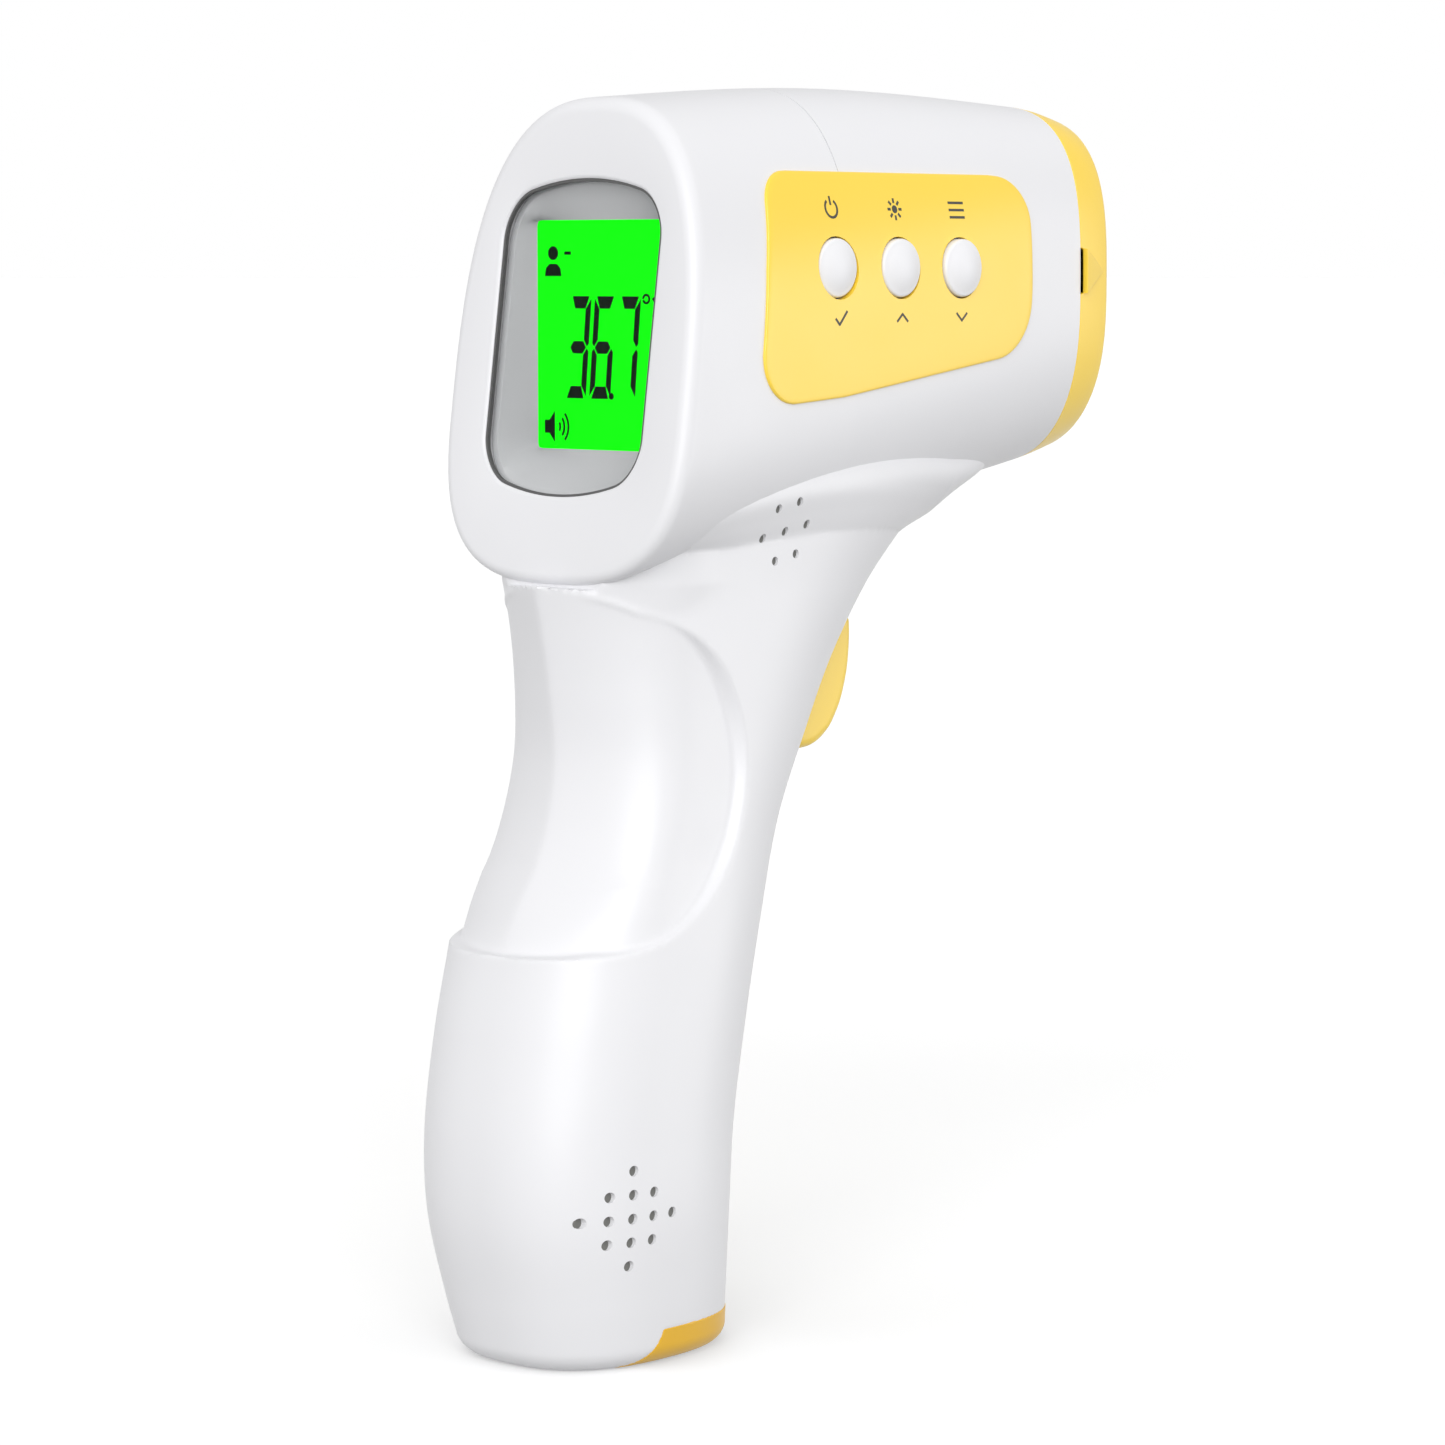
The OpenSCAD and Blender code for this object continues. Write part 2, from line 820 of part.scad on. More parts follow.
module door_hinge_pin() {
    color(steel) across(door_pivot, door_pin_r, 6.2);
}

// Yellow toe at the front of the base
module base_toe() {
    color(yellow) moulded() intersection() {
        difference() {
            grip_form(0);
            translate([-36, -10, 1.6]) cube([18, 20, 5]);
        }
        toe_region(0);
        translate([-40, -20, -1]) cube([40, 40, 5.55]);
    }
}

// The battery leans with the grip
battery_lean = 10.5;
battery_w = 25.5;
battery_t = 17;
battery_corner = 2.5;
battery_h = 46;
module in_bay() {
    translate([-33.4, 0, 9.8]) rotate([0, battery_lean, 0]) children();
}

module battery_block(inset) {
    translate([0, 0, inset]) linear_extrude(battery_h - 2 * inset) offset(battery_corner - inset)
        square([battery_w - 2 * battery_corner, battery_t - 2 * battery_corner], center = true);
}

module battery_can() {
    color([0.2, 0.22, 0.26]) in_bay() difference() {
        battery_block(0);
        battery_block(0.3);
    }
}

// Six round cells in two rows
module battery_cells() {
    color(steel) in_bay() for (i = [-1:1], j = [-1, 1])
        translate([8.2 * i, 4.05 * j, 1]) cylinder(h = 42, r = 3.95);
}

module battery_terminals() {
    color(gold) in_bay() for (s = [-1, 1])
        translate([6.3 * s, 0, battery_h + 0.02])
            cylinder(h = 2, r = s < 0 ? 2.8 : 3.6, $fn = s < 0 ? 32 : 6);
}

// Press-on connector over the two terminals
module battery_snap() {
    color(dark) in_bay() difference() {
        translate([-10.5, -6.5, battery_h + 0.3]) cube([21, 13, 4.2]);
        for (s = [-1, 1]) translate([6.3 * s, 0, battery_h]) cylinder(h = 2.3, r = 3.9);
    }
}

// Shelf, side walls and a back rib that hold the battery
module battery_tray() {
    color(dark) in_bay() {
        translate([-9, -9.6, -1.4]) cube([20, 19.2, 1.3]);
        translate([-9, 8.6, -0.2]) cube([16, 1, 40]);
        translate([-2, -9.6, 18]) cube([9, 1, 22]);
        translate([2, -9.6, -0.2]) cube([5, 1, 19]);
    }
}

// ---- Sound ----

module at_speaker() {
    translate([speaker_x + 0.9, -10, speaker_z]) rotate([0, 0, -14]) rotate([90, 0, 0]) children();
}

module speaker_frame() {
    color(steel) at_speaker() {
        difference() {
            cylinder(h = 1.8, r = 6.4);
            translate([0, 0, 0.8]) cylinder(h = 2, r = 5.7);
        }
    }
}

module speaker_cone() {
    color(dark) at_speaker() translate([0, 0, 0.85]) cylinder(h = 0.8, r1 = 2.5, r2 = 5.6);
}

module buzzer() {
    color(dark) translate([buzzer_x, -9.2, buzzer_z - 0.6]) rotate([90, 0, 0]) difference() {
        cylinder(h = 3.2, r = 5);
        translate([0, 0, 2.2]) cylinder(h = 2, r = 1);
    }
}

// ---- Fasteners ----

module housing_screws() {
    color(steel) for (p = screw_spots) translate([p[0], screw_head_y, p[1]]) rotate([90, 0, 0]) {
        translate([0, 0, -1.4]) cylinder(h = 1.4, r = 1.9);
        cylinder(h = screw_head_y + 7, r = 0.9);
    }
}

housing_right();
housing_left();
front_barrel();
nose_ring();
display_bezel();
display_lens();
display_well();
lcd_panel();
backlight_plate();
main_board();
board_components();
board_screws();
button_panel();
side_panel_left();
mode_button();
set_button();
memory_button();
key_board();
key_switches();
ribbon_cable();
trigger();
trigger_pin();
trigger_spring();
trigger_switch();
battery_door();
door_hinge_pin();
base_toe();
battery_tray();
battery_can();
battery_cells();
battery_terminals();
battery_snap();
speaker_frame();
speaker_cone();
buzzer();
sensor_hood();
sensor_barrel();
thermopile_can();
sensor_window();
housing_screws();
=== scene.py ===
"""Looks of the infrared thermometer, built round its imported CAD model.

The visible shells are made from smooth distance fields of the same forms that the CAD part uses.
Shape functions work in millimetres; a mesh is scaled to metres as it is made.
"""
import json
import math

import bmesh
import bpy
import numpy as np
from mathutils import Matrix, Vector


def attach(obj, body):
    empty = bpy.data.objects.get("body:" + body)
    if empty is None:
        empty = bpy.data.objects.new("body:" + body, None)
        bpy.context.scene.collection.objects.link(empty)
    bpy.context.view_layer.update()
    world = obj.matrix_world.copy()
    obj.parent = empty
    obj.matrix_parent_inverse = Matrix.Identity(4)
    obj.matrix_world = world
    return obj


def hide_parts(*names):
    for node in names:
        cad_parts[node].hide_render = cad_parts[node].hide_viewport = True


MM = 0.001

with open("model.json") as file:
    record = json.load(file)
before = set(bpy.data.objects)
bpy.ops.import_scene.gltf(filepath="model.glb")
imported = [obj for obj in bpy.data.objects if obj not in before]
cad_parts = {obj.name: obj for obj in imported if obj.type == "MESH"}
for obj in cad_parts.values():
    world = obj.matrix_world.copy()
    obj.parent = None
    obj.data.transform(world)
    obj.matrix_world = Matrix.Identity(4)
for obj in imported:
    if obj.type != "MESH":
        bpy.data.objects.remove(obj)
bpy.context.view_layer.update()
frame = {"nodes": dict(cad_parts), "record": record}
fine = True

# ---- Sizes, in millimetres ----

GRIP = [
    (0, -46.6, -13.8, 13.6), (8, -48.8, -14.3, 15), (18, -51, -14.4, 16.2), (28, -51.2, -13.8, 16.5),
    (40, -49.4, -11.6, 16.5), (52, -46.8, -8.6, 16.2), (64, -46, -4.5, 15.6), (74, -46, 1.2, 15.2),
    (84, -44, 7.3, 15), (92, -40, 13.8, 15.1), (99, -38, 20.6, 15.5),
]
SADDLE = [
    (46, -47.6, -15, 15.6), (54, -44.1, -13, 15.1), (60, -40.2, -11, 14.4), (66, -37.9, -8, 14.1),
    (73, -36.9, -4, 13.8), (81, -37.7, 0, 13.6), (88, -39, 4, 13.8), (94, -40.4, 8, 14.6),
]
FAIRING = [
    (98, -37.6, 19.6, 15.1), (99, -38.2, 20.8, 15.5), (101, -46, 24.8, 16.3), (104, -58, 31, 17.2),
    (107, -60, 38.3, 16.6), (110, -60, 42.5, 14.8),
]
BARREL = [
    (-38, 93.5, 115, 151.4, 20.2, 3, 2.7), (5, 99.8, 122, 154, 18.6, 2.7, 2.6),
    (44, 105.9, 128.8, 152.7, 17, 2.6, 3.1), (51.4, 107.6, 129.2, 151.3, 16.2, 2.6, 3.1),
]
GRIP_TOP = 99
FAIRING_PROUD = 0.12
SADDLE_LOW = SADDLE[0][0]
GRIP_WALL = 1.8
HEAD_WALL = 1.4
BASE_ROUND = 2.5
SEAM_X = -3
SEAM_GAP = 0.14
RING_X = 44
NOSE_X = 51.4
NOSE_Z = 129.2
FACE_X = -37.9
FACE_Z = 93.5
FACE_LEAN = math.radians(8)
BEZEL_T = 3.2
SCOOP_CENTRE = (-46.4, 72.3)
SCOOP_R = (27, 22.4)
SCOOP_RIM_Y = 14.5
SCOOP_FLOOR_Y = 11
SCOOP_BEVEL = 3
SCOOP_EDGE = 0.25
PANEL_CIRCLES = [(-13.2, 138.3, 5), (27, 137.2, 6), (24.9, 128, 8), (-15.3, 121, 5.7)]
PANEL_PROUD = 0.35
PANEL_DEEP = 0.6
KEY_X = [-6.4, 5.7, 17.8]
KEY_Z = 131.6
KEY_R = 3.6
DOOR_HALF = 10.5
DOOR_LOW = 8
DOOR_TOP = 58
DOOR_WALL = 1.5
DOOR_PIN = (-17.8, 9.6)
DOOR_SWING_Y = [4, 5.5, 7.5, 9.1, 10.6]
DOOR_SWING_R = [4.2, 3.8, 3.2, 2.2, 0]
TRIGGER_PIN = (6.6, 92)
TRIGGER_SLOT_Z = 79.5
TRIGGER_HALF = 5
GRIP_SCREWS = [(-41, 6.6), (-27, 67), (-27, 91)]
HEAD_SCREW = (-10, 147.4)
SCREW_HEAD_R = 2
BUZZER = (-12.7, 99.8)
BUZZER_RING = 3.8
BUZZER_HOLE_R = 0.55
SPEAKER = (-39.8, 19.2)
SPEAKER_PITCH = (3.1, 2.9)
SPEAKER_HOLE_R = 0.65
TOE_PROUD = 0.08
LCD_X = -26.9
LCD_LOW = 109.6
LCD_HIGH = 137.4
LCD_HALF = 12


# ---- Distance fields ----

def stations(rows, s):
    """Every column of the station table at s, on a smooth curve through the stations."""
    table = np.asarray(rows, float)
    keys = table[:, 0]
    cols = table[:, 1:]
    last = len(keys) - 1
    before = np.maximum(np.arange(last + 1) - 1, 0)
    after = np.minimum(np.arange(last + 1) + 1, last)
    slope = (cols[after] - cols[before]) / (keys[after] - keys[before])[:, None]
    s = np.clip(s, keys[0], keys[-1])
    i = np.clip(np.searchsorted(keys, s, side="right") - 1, 0, last - 1)
    d = keys[i + 1] - keys[i]
    t = (s - keys[i]) / d
    return [
        (2 * t**3 - 3 * t**2 + 1) * cols[i, k] + (t**3 - 2 * t**2 + t) * d * slope[i, k]
        + (3 * t**2 - 2 * t**3) * cols[i + 1, k] + (t**3 - t**2) * d * slope[i + 1, k]
        for k in range(cols.shape[1])
    ]


def round_max(a, b, r):
    """Overlap of two shapes with its edge rounded to radius r."""
    a = a + r
    b = b + r
    return np.hypot(np.maximum(a, 0), np.maximum(b, 0)) + np.minimum(np.maximum(a, b), 0) - r


def round_min(a, b, r):
    """Union of two shapes with its inner corner filleted to radius r."""
    return -round_max(-a, -b, r)


def ellipse(u, v, a, b, n):
    """Distance to a superellipse of half sizes a and b; u and v are the scaled coordinates."""
    u = np.abs(u) + 1e-5
    v = np.abs(v) + 1e-5
    up = u ** (n - 1)
    vp = v ** (n - 1)
    g = (up * u + vp * v) ** (1 / n)
    return (g - 1) * g ** (n - 1) / np.hypot(up / a, vp / b)


def level_form(rows, x, y, z):
    rear, front, half = stations(rows, z)
    a = (front - rear) / 2
    return ellipse((x - (front + rear) / 2) / a, y / half, a, half, 2.5)


def saddle_form(x, y, z, z_level):
    """The waist under the head; its rear is pinched to a soft ridge."""
    rear, front, half = stations(SADDLE, z)
    a = (front - rear) / 2
    u = (x - (front + rear) / 2) / a
    keel = np.where(u < 0, np.clip((z - SADDLE_LOW) / 12, 0, 1), 0)
    nu = 2 / (0.8 - 0.4 * keel)
    nv = 2 / (0.8 + 1.2 * keel)
    u = np.abs(u) + 1e-5
    v = np.sqrt((y / half) ** 2 + 0.0016)
    pu = u ** (nu - 1)
    pv = v ** (nv - 1)
    d = (pu * u + pv * v - 1) / np.hypot(nu * pu / a, nv * pv / half)
    return np.maximum(np.clip(d, -9, 9), np.maximum(SADDLE_LOW - z, z_level - GRIP_TOP - 1.2))


def barrel_form(x, y, z):
    low, mid, top, half, below, above = stations(BARREL, x)
    w = z - mid
    reach = np.where(w > 0, top - mid, mid - low)
    n = np.where(w > 0, above, below)
    return ellipse(w / reach, y / half, reach, half, n)


def face_depth(x, z):
    """Depth behind the leaning plane of the display face."""
    return (x - FACE_X) * math.cos(FACE_LEAN) - (z - FACE_Z) * math.sin(FACE_LEAN)


def scoop_form(x, y, z):
    """The thumb scoop: an ellipse seen from the side that moves back as it goes deeper."""
    lean = SCOOP_BEVEL / (SCOOP_RIM_Y - SCOOP_FLOOR_Y)
    shift = (np.maximum(np.abs(y), SCOOP_FLOOR_Y) - SCOOP_RIM_Y) * lean
    u = (x - SCOOP_CENTRE[0] - shift) / SCOOP_R[0]
    v = (z - SCOOP_CENTRE[1]) / SCOOP_R[1]
    return ellipse(u, v, SCOOP_R[0], SCOOP_R[1], 2)


def crease_lift(x, z):
    """The neck's lower crease is arched, and lowest under the display."""
    arch = np.maximum(0.8 - 0.0037 * (x + 1) ** 2, np.where(x > 0, -1.2, -5))
    t = np.clip((z - 84) / 12, 0, 1)
    return arch * t * t * (3 - 2 * t)


def body_form(x, y, z):
    """Grip with its scoops, the saddle and the neck fairing."""
    z_level = z - crease_lift(x, z)
    grip = round_max(level_form(GRIP, x, y, z_level), z_level - GRIP_TOP, 0.2)
    grip = round_max(grip, -z, BASE_ROUND)
    grip = round_max(grip, -scoop_form(x, y, z), SCOOP_EDGE)
    neck = level_form(FAIRING, x, y, z_level) - FAIRING_PROUD
    neck = np.maximum(neck, np.maximum(GRIP_TOP - 0.25 - z_level, z_level - 111))
    return np.minimum(round_min(grip, saddle_form(x, y, z, z_level), 0.3), neck)


def rounded_box(u, v, half_u, half_v, r):
    """Distance to a rectangle with round corners."""
    a = np.abs(u) - half_u + r
    b = np.abs(v) - half_v + r
    return np.hypot(np.maximum(a, 0), np.maximum(b, 0)) + np.minimum(np.maximum(a, b), 0) - r


def panel_outline(x, z):
    """Distance to the convex outline of a side panel."""
    d = None
    for k in range(96):
        a = k * math.tau / 96
        c, s = math.cos(a), math.sin(a)
        reach = max(cx * c + cz * s + r for cx, cz, r in PANEL_CIRCLES)
        side = x * c + z * s - reach
        d = side if d is None else np.maximum(d, side)
    return d


def door_outline(y, z):
    middle = (DOOR_LOW + DOOR_TOP) / 2
    return rounded_box(y, z - middle, DOOR_HALF, (DOOR_TOP - DOOR_LOW) / 2, 3)


def door_opening(y, z):
    """Distance to the outline of the door's opening, with room below for the door's lower edge to swing."""
    notch = np.maximum(np.abs(y) - 9.3, np.abs(z - 9) - 2)
    return np.minimum(door_outline(y, z) - 0.25, notch)


def toe_outline(x, z):
    """Region of the yellow toe at the front of the base."""
    corner = 5 - np.hypot(x + 38, z - 5.5)
    return round_max(np.maximum(-38 - x, z - 4.6), corner, 0.2)


def trigger_slot(y, z):
    return rounded_box(y, z - TRIGGER_SLOT_Z, TRIGGER_HALF + 0.35, 9.1, 1)


def screw_posts(x, y, z):
    """The posts that the screws and the trigger's pin sit in."""
    post_r = 2.6
    pivot = np.hypot(x - TRIGGER_PIN[0], z - TRIGGER_PIN[1]) - post_r
    d = np.maximum(pivot, TRIGGER_HALF + 0.6 - np.abs(y))
    for cx, cz in GRIP_SCREWS:
        d = np.minimum(d, np.hypot(x - cx, z - cz) - post_r)
    return d


def door_lug(x, y, z):
    """Lug inside the grip that carries the middle of the door's pin."""
    eye = np.hypot(x - DOOR_PIN[0], z - DOOR_PIN[1]) - 1.5
    arm = rounded_box(x + 19.2, z - 10.3, 1.4, 0.8, 0.3)
    foot = rounded_box(x + 19.6, z - 7.6, 0.6, 3.2, 0.2)
    return np.maximum(np.minimum(np.minimum(eye, arm), foot), np.abs(y) - 3)


def bezel_space(x, z, depth):
    """Distance to the space over the top of the grip, back to a depth behind the display face."""
    up_face = (x - FACE_X) * math.sin(FACE_LEAN) + (z - FACE_Z) * math.cos(FACE_LEAN)
    return np.maximum(face_depth(x, z) - depth, -up_face)


def housing_form(x, y, z):
    """Grip and neck of both housing halves as one hollow shape; its top ends inside the head."""
    body = body_form(x, y, z)
    barrel = barrel_form(x, y, z)
    bezel = bezel_space(x, z, BEZEL_T)
    solid = np.maximum(np.maximum(body, -barrel - 0.6), -bezel_space(x, z, 1))
    hollow = np.maximum(body + GRIP_WALL, np.where(x > SEAM_X - 2, 1.8 - barrel, -9))
    hollow = np.maximum(np.maximum(hollow, 1.5 - bezel), -screw_posts(x, y, z))
    shell = np.maximum(solid, -hollow)
    shell = np.maximum(shell, -toe_outline(x, z) - 0.4)
    swing = np.interp(np.abs(y), DOOR_SWING_Y, DOOR_SWING_R)
    return np.maximum(shell, swing - np.hypot(x - DOOR_PIN[0], z - DOOR_PIN[1]))


def door_form(x, y, z):
    """Battery door with the two eyes that turn on its pin."""
    skin = level_form(GRIP, x, y, z)
    slab = np.abs(skin + DOOR_WALL / 2) - DOOR_WALL / 2
    slab = np.maximum(slab, -24 - x)
    slab = round_max(slab, door_outline(y, z), 0.4)
    ends = np.abs(np.abs(y) - 4.7) - 1.3
    from_pin = np.hypot(x - DOOR_PIN[0], z - DOOR_PIN[1])
    eye = np.maximum(from_pin - 1.5, ends)
    arm = np.maximum(rounded_box(x + 16.5, z - DOOR_PIN[1], 1.3, 0.9, 0.2), ends)
    return np.maximum(np.minimum(slab, np.minimum(eye, arm)), 0.96 - from_pin)


def toe_form(x, y, z):
    """Yellow front corner of the base, hollow inside."""
    pocket = np.maximum(np.abs(x + 27) - 9, np.maximum(np.abs(y) - 10, 1.6 - z))
    skin = round_max(level_form(GRIP, x, y, z) - TOE_PROUD, -z, BASE_ROUND)
    toe = round_max(skin, toe_outline(x, z), 0.1)
    return np.maximum(toe, -pocket)


TRIGGER = [
    (4.2, 88), (12.9, 87.9), (13.1, 85), (12.6, 80.5), (11.2, 76.4), (9, 73.2), (6, 71.3), (3.4, 70.9),
    (0.6, 71), (-0.4, 73), (-0.2, 79),
]


def trigger_form(x, y, z):
    """Convex lever with well rounded sides, its hub, and the space round the spring."""
    side = None
    for (x0, z0), (x1, z1) in zip(TRIGGER, TRIGGER[1:] + TRIGGER[:1]):
        length = math.hypot(x1 - x0, z1 - z0)
        d = ((z0 - z1) * (x - x0) + (x1 - x0) * (z - z0)) / length
        side = d if side is None else round_max(side, d, 1)
    from_pin = np.hypot(x - TRIGGER_PIN[0], z - TRIGGER_PIN[1])
    width = np.abs(y) - TRIGGER_HALF
    lever = round_max(side, width, 1.6)
    hub = np.maximum(from_pin - 2.2, width)
    web = np.maximum(rounded_box(x - 5.9, z - 88.5, 1.3, 2.5, 0.2), width)
    trigger = round_min(np.minimum(hub, web), lever, 0.3)
    trigger = np.maximum(trigger, 1.06 - from_pin)
    spring = np.minimum(from_pin - 3, rounded_box(x - 4.6, z - 89, 2, 3, 0.1))
    return np.maximum(trigger, -np.maximum(spring, np.abs(y) - 2.5))


# ---- Meshes from fields ----

CORNERS = [(i, j, k) for i in (0, 1) for j in (0, 1) for k in (0, 1)]
CELL_EDGES = [(a, b) for a in range(8) for b in range(a + 1, 8)
              if sum(p != q for p, q in zip(CORNERS[a], CORNERS[b])) == 1]


def slope_of(field, p, step):
    """Value and slope of a field at points p."""
    value = field(p[:, 0], p[:, 1], p[:, 2])
    g = np.empty_like(p)
    for axis in range(3):
        ahead = p.copy()
        back = p.copy()
        ahead[:, axis] += step
        back[:, axis] -= step
        g[:, axis] = (field(*ahead.T) - field(*back.T)) / (2 * step)
    return value, g


def settle(field, p, step, rounds):
    """Moves points onto the field's surface."""
    for _ in range(rounds):
        value, g = slope_of(field, p, 0.02)
        move = g * (value / np.maximum((g**2).sum(1), 0.05))[:, None]
        size = np.linalg.norm(move, axis=1)
        p -= move * np.minimum(1, 0.7 * step / np.maximum(size, 1e-9))[:, None]
    return p


def surface(field, low, high, step):
    """Points and quads of the surface where a field is zero, inside a box."""
    axes = [np.arange(a, b + step, step) for a, b in zip(low, high)]
    values = field(*np.meshgrid(*axes, indexing="ij", sparse=True))
    inside = values < 0
    cells = [len(a) - 1 for a in axes]

    def corner(array, c):
        return array[c[0]:c[0] + cells[0], c[1]:c[1] + cells[1], c[2]:c[2] + cells[2]]

    count = sum(corner(inside, c).astype(np.uint8) for c in CORNERS)
    at = np.argwhere((count > 0) & (count < 8))
    number = np.full(cells, -1, np.int64)
    number[tuple(at.T)] = np.arange(len(at))
    held = [values[tuple((at + np.array(c)).T)] for c in CORNERS]
    total = np.zeros((len(at), 3))
    hits = np.zeros(len(at))
    for a, b in CELL_EDGES:
        cross = (held[a] < 0) != (held[b] < 0)
        t = np.where(cross, held[a] / np.where(cross, held[a] - held[b], 1), 0)
        start, end = np.array(CORNERS[a]), np.array(CORNERS[b])
        total += np.where(cross[:, None], start + t[:, None] * (end - start), 0)
        hits += cross
    points = np.array([a[0] for a in axes]) + step * (at + total / hits[:, None])
    quads = []
    for axis in range(3):
        first = inside[tuple(slice(0, -1) if k == axis else slice(1, -1) for k in range(3))]
        second = inside[tuple(slice(1, None) if k == axis else slice(1, -1) for k in range(3))]
        for change, flip in ((first & ~second, False), (~first & second, True)):
            e = np.argwhere(change)
            e[:, (axis + 1) % 3] += 1
            e[:, (axis + 2) % 3] += 1
            ring = []
            for u, v in ((1, 1), (0, 1), (0, 0), (1, 0)):
                c = e.copy()
                c[:, (axis + 1) % 3] -= u
                c[:, (axis + 2) % 3] -= v
                ring.append(number[tuple(c.T)])
            quad = np.stack(ring, 1)
            quads.append(quad[:, ::-1] if flip else quad)
    quads = np.concatenate(quads)
    points = settle(field, points, step, 2)
    points = relax(points, quads)
    return settle(field, points, step, 2), quads


def relax(points, quads):
    """Evens out a mesh: each point moves half way to the middle of its faces."""
    middle = points[quads].mean(1)
    total = np.zeros_like(points)
    count = np.zeros(len(points))
    for k in range(4):
        np.add.at(total, quads[:, k], middle)
        np.add.at(count, quads[:, k], 1)
    return points + 0.5 * (total / np.maximum(count, 1)[:, None] - points)


def add_mesh(name, points, faces, sharp=40):
    """A smooth-shaded mesh object from points in millimetres."""
    mesh = bpy.data.meshes.new(name)
    mesh.from_pydata((np.asarray(points) * MM).tolist(), [], [list(f) for f in faces])
    mesh.validate()
    mesh.shade_smooth()
    if sharp:
        mesh.set_sharp_from_angle(angle=math.radians(sharp))
    piece = bpy.data.objects.new(name, mesh)
    bpy.context.scene.collection.objects.link(piece)
    return piece


def field_piece(name, field, low, high, step, sharp=40):
    """A piece whose skin is where a field is zero, inside a box."""
    if not fine:
        step *= 1.6
    points, quads = surface(field, low, high, step)
    return add_mesh(name, points, quads.tolist(), sharp)


def polar_loop(inside, centre, count=240, reach=60):
    """Loop of points (across, up) where a shape that is star-shaped about its centre ends."""
    a = np.arange(count) * math.tau / count
    low = np.zeros(count)
    high = np.full(count, float(reach))
    for _ in range(40):
        r = (low + high) / 2
        within = inside(centre[0] + r * np.cos(a), centre[1] + r * np.sin(a)) < 0
        low = np.where(within, r, low)
        high = np.where(within, high, r)
    return np.stack([centre[0] + low * np.cos(a), centre[1] + low * np.sin(a)], 1)


def band_faces(rows, count, closed):
    """Quads between rows of points that each go once round."""
    faces = []
    for j in range(rows if closed else rows - 1):
        k = (j + 1) % rows
        for i in range(count):
            n = (i + 1) % count
            faces.append((j * count + i, j * count + n, k * count + n, k * count + i))
    return faces


def band(name, rings, closed=True, sharp=35):
    """A piece lofted through rings; an open one is capped at both ends."""
    count = len(rings[0])
    faces = band_faces(len(rings), count, closed)
    if not closed:
        last = (len(rings) - 1) * count
        faces.append(tuple(range(count - 1, -1, -1)))
        faces.append(tuple(range(last, last + count)))
    piece = add_mesh(name, np.concatenate(rings), faces, None)
    face_outward(piece)
    piece.data.set_sharp_from_angle(angle=math.radians(sharp))
    return piece


def face_outward(piece):
    mesh = bmesh.new()
    mesh.from_mesh(piece.data)
    bmesh.ops.recalc_face_normals(mesh, faces=mesh.faces)
    mesh.to_mesh(piece.data)
    mesh.free()


def lathe(name, profile, place, count=96, sharp=35):
    """A turned piece: profile is (radius, along) pairs, and place maps along, u and v to a point."""
    rings = []
    for radius, along in profile:
        a = np.arange(count) * math.tau / count
        rings.append(np.stack([place(along, radius * math.cos(t), radius * math.sin(t)) for t in a]))
    return band(name, rings, closed=False, sharp=sharp)


def arc(centre, radius, start, stop, steps):
    """Points of an arc in a profile, in degrees from the radius axis."""
    turns = np.radians(np.linspace(start, stop, steps))
    return [(centre[0] + radius * math.cos(t), centre[1] + radius * math.sin(t)) for t in turns]


def drill(piece, cutters, boxes=()):
    """Cuts round holes (start point, end point, radius) and box-shaped ones (low corner, high corner)."""
    mesh = bmesh.new()
    for start, end, radius in cutters:
        start, end = Vector(start) * MM, Vector(end) * MM
        turn = (end - start).to_track_quat("Z", "Y").to_matrix().to_4x4()
        turn.translation = (start + end) / 2
        bmesh.ops.create_cone(mesh, cap_ends=True, segments=28, radius1=radius * MM, radius2=radius * MM,
                              depth=(end - start).length, matrix=turn)
    for low, high in boxes:
        middle, reach = (Vector(low) + Vector(high)) / 2 * MM, (Vector(high) - Vector(low)) * MM
        bmesh.ops.create_cube(mesh, size=1, matrix=Matrix.LocRotScale(middle, None, reach))
    tool = bpy.data.objects.new("drill", bpy.data.meshes.new("drill"))
    mesh.to_mesh(tool.data)
    mesh.free()
    bpy.context.scene.collection.objects.link(tool)
    cut_away(piece, tool)


def cut_away(piece, tool):
    """Takes a tool's shape out of a piece, and removes the tool."""
    cut = piece.modifiers.new("cut", "BOOLEAN")
    cut.operation = "DIFFERENCE"
    cut.solver = "MANIFOLD"
    cut.object = tool
    solid = bpy.data.meshes.new_from_object(piece.evaluated_get(bpy.context.evaluated_depsgraph_get()))
    solid.shade_smooth()
    solid.set_sharp_from_angle(angle=math.radians(40))
    piece.modifiers.clear()
    piece.data = solid
    bpy.data.objects.remove(tool)


def cut_opening(piece, outline, centre, start, stop):
    """Cuts an opening along X, whose outline (y, z) is star-shaped about its centre."""
    loop = polar_loop(outline, centre, 720)
    ends = [np.stack([np.full(len(loop), x), loop[:, 0], loop[:, 1]], 1) for x in (start, stop)]
    cut_away(piece, band("opening", ends, closed=False))


def split_at_y0(piece, right_name, left_name):
    """Cuts a closed piece into two closed halves along the middle plane."""
    halves = []
    for name, low_y, high_y in ((right_name, 0, 60), (left_name, -60, 0)):
        half = bpy.data.objects.new(name, piece.data.copy())
        bpy.context.scene.collection.objects.link(half)
        drill(half, (), [((-90, low_y, -20), (90, high_y, 200))])
        halves.append(half)
    bpy.data.objects.remove(piece)
    return halves


def add_piece(piece, body, slot, *nodes, finish=None):
    """Attaches a piece to the body it rides on, gives it its slot's finish or the finish given, and hides
    the CAD nodes it stands for.
    """
    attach(piece, body)
    if nodes:
        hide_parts(*nodes)
    piece.data.materials.clear()
    piece.data.materials.append(finish or materials[slot])


# ---- Materials ----

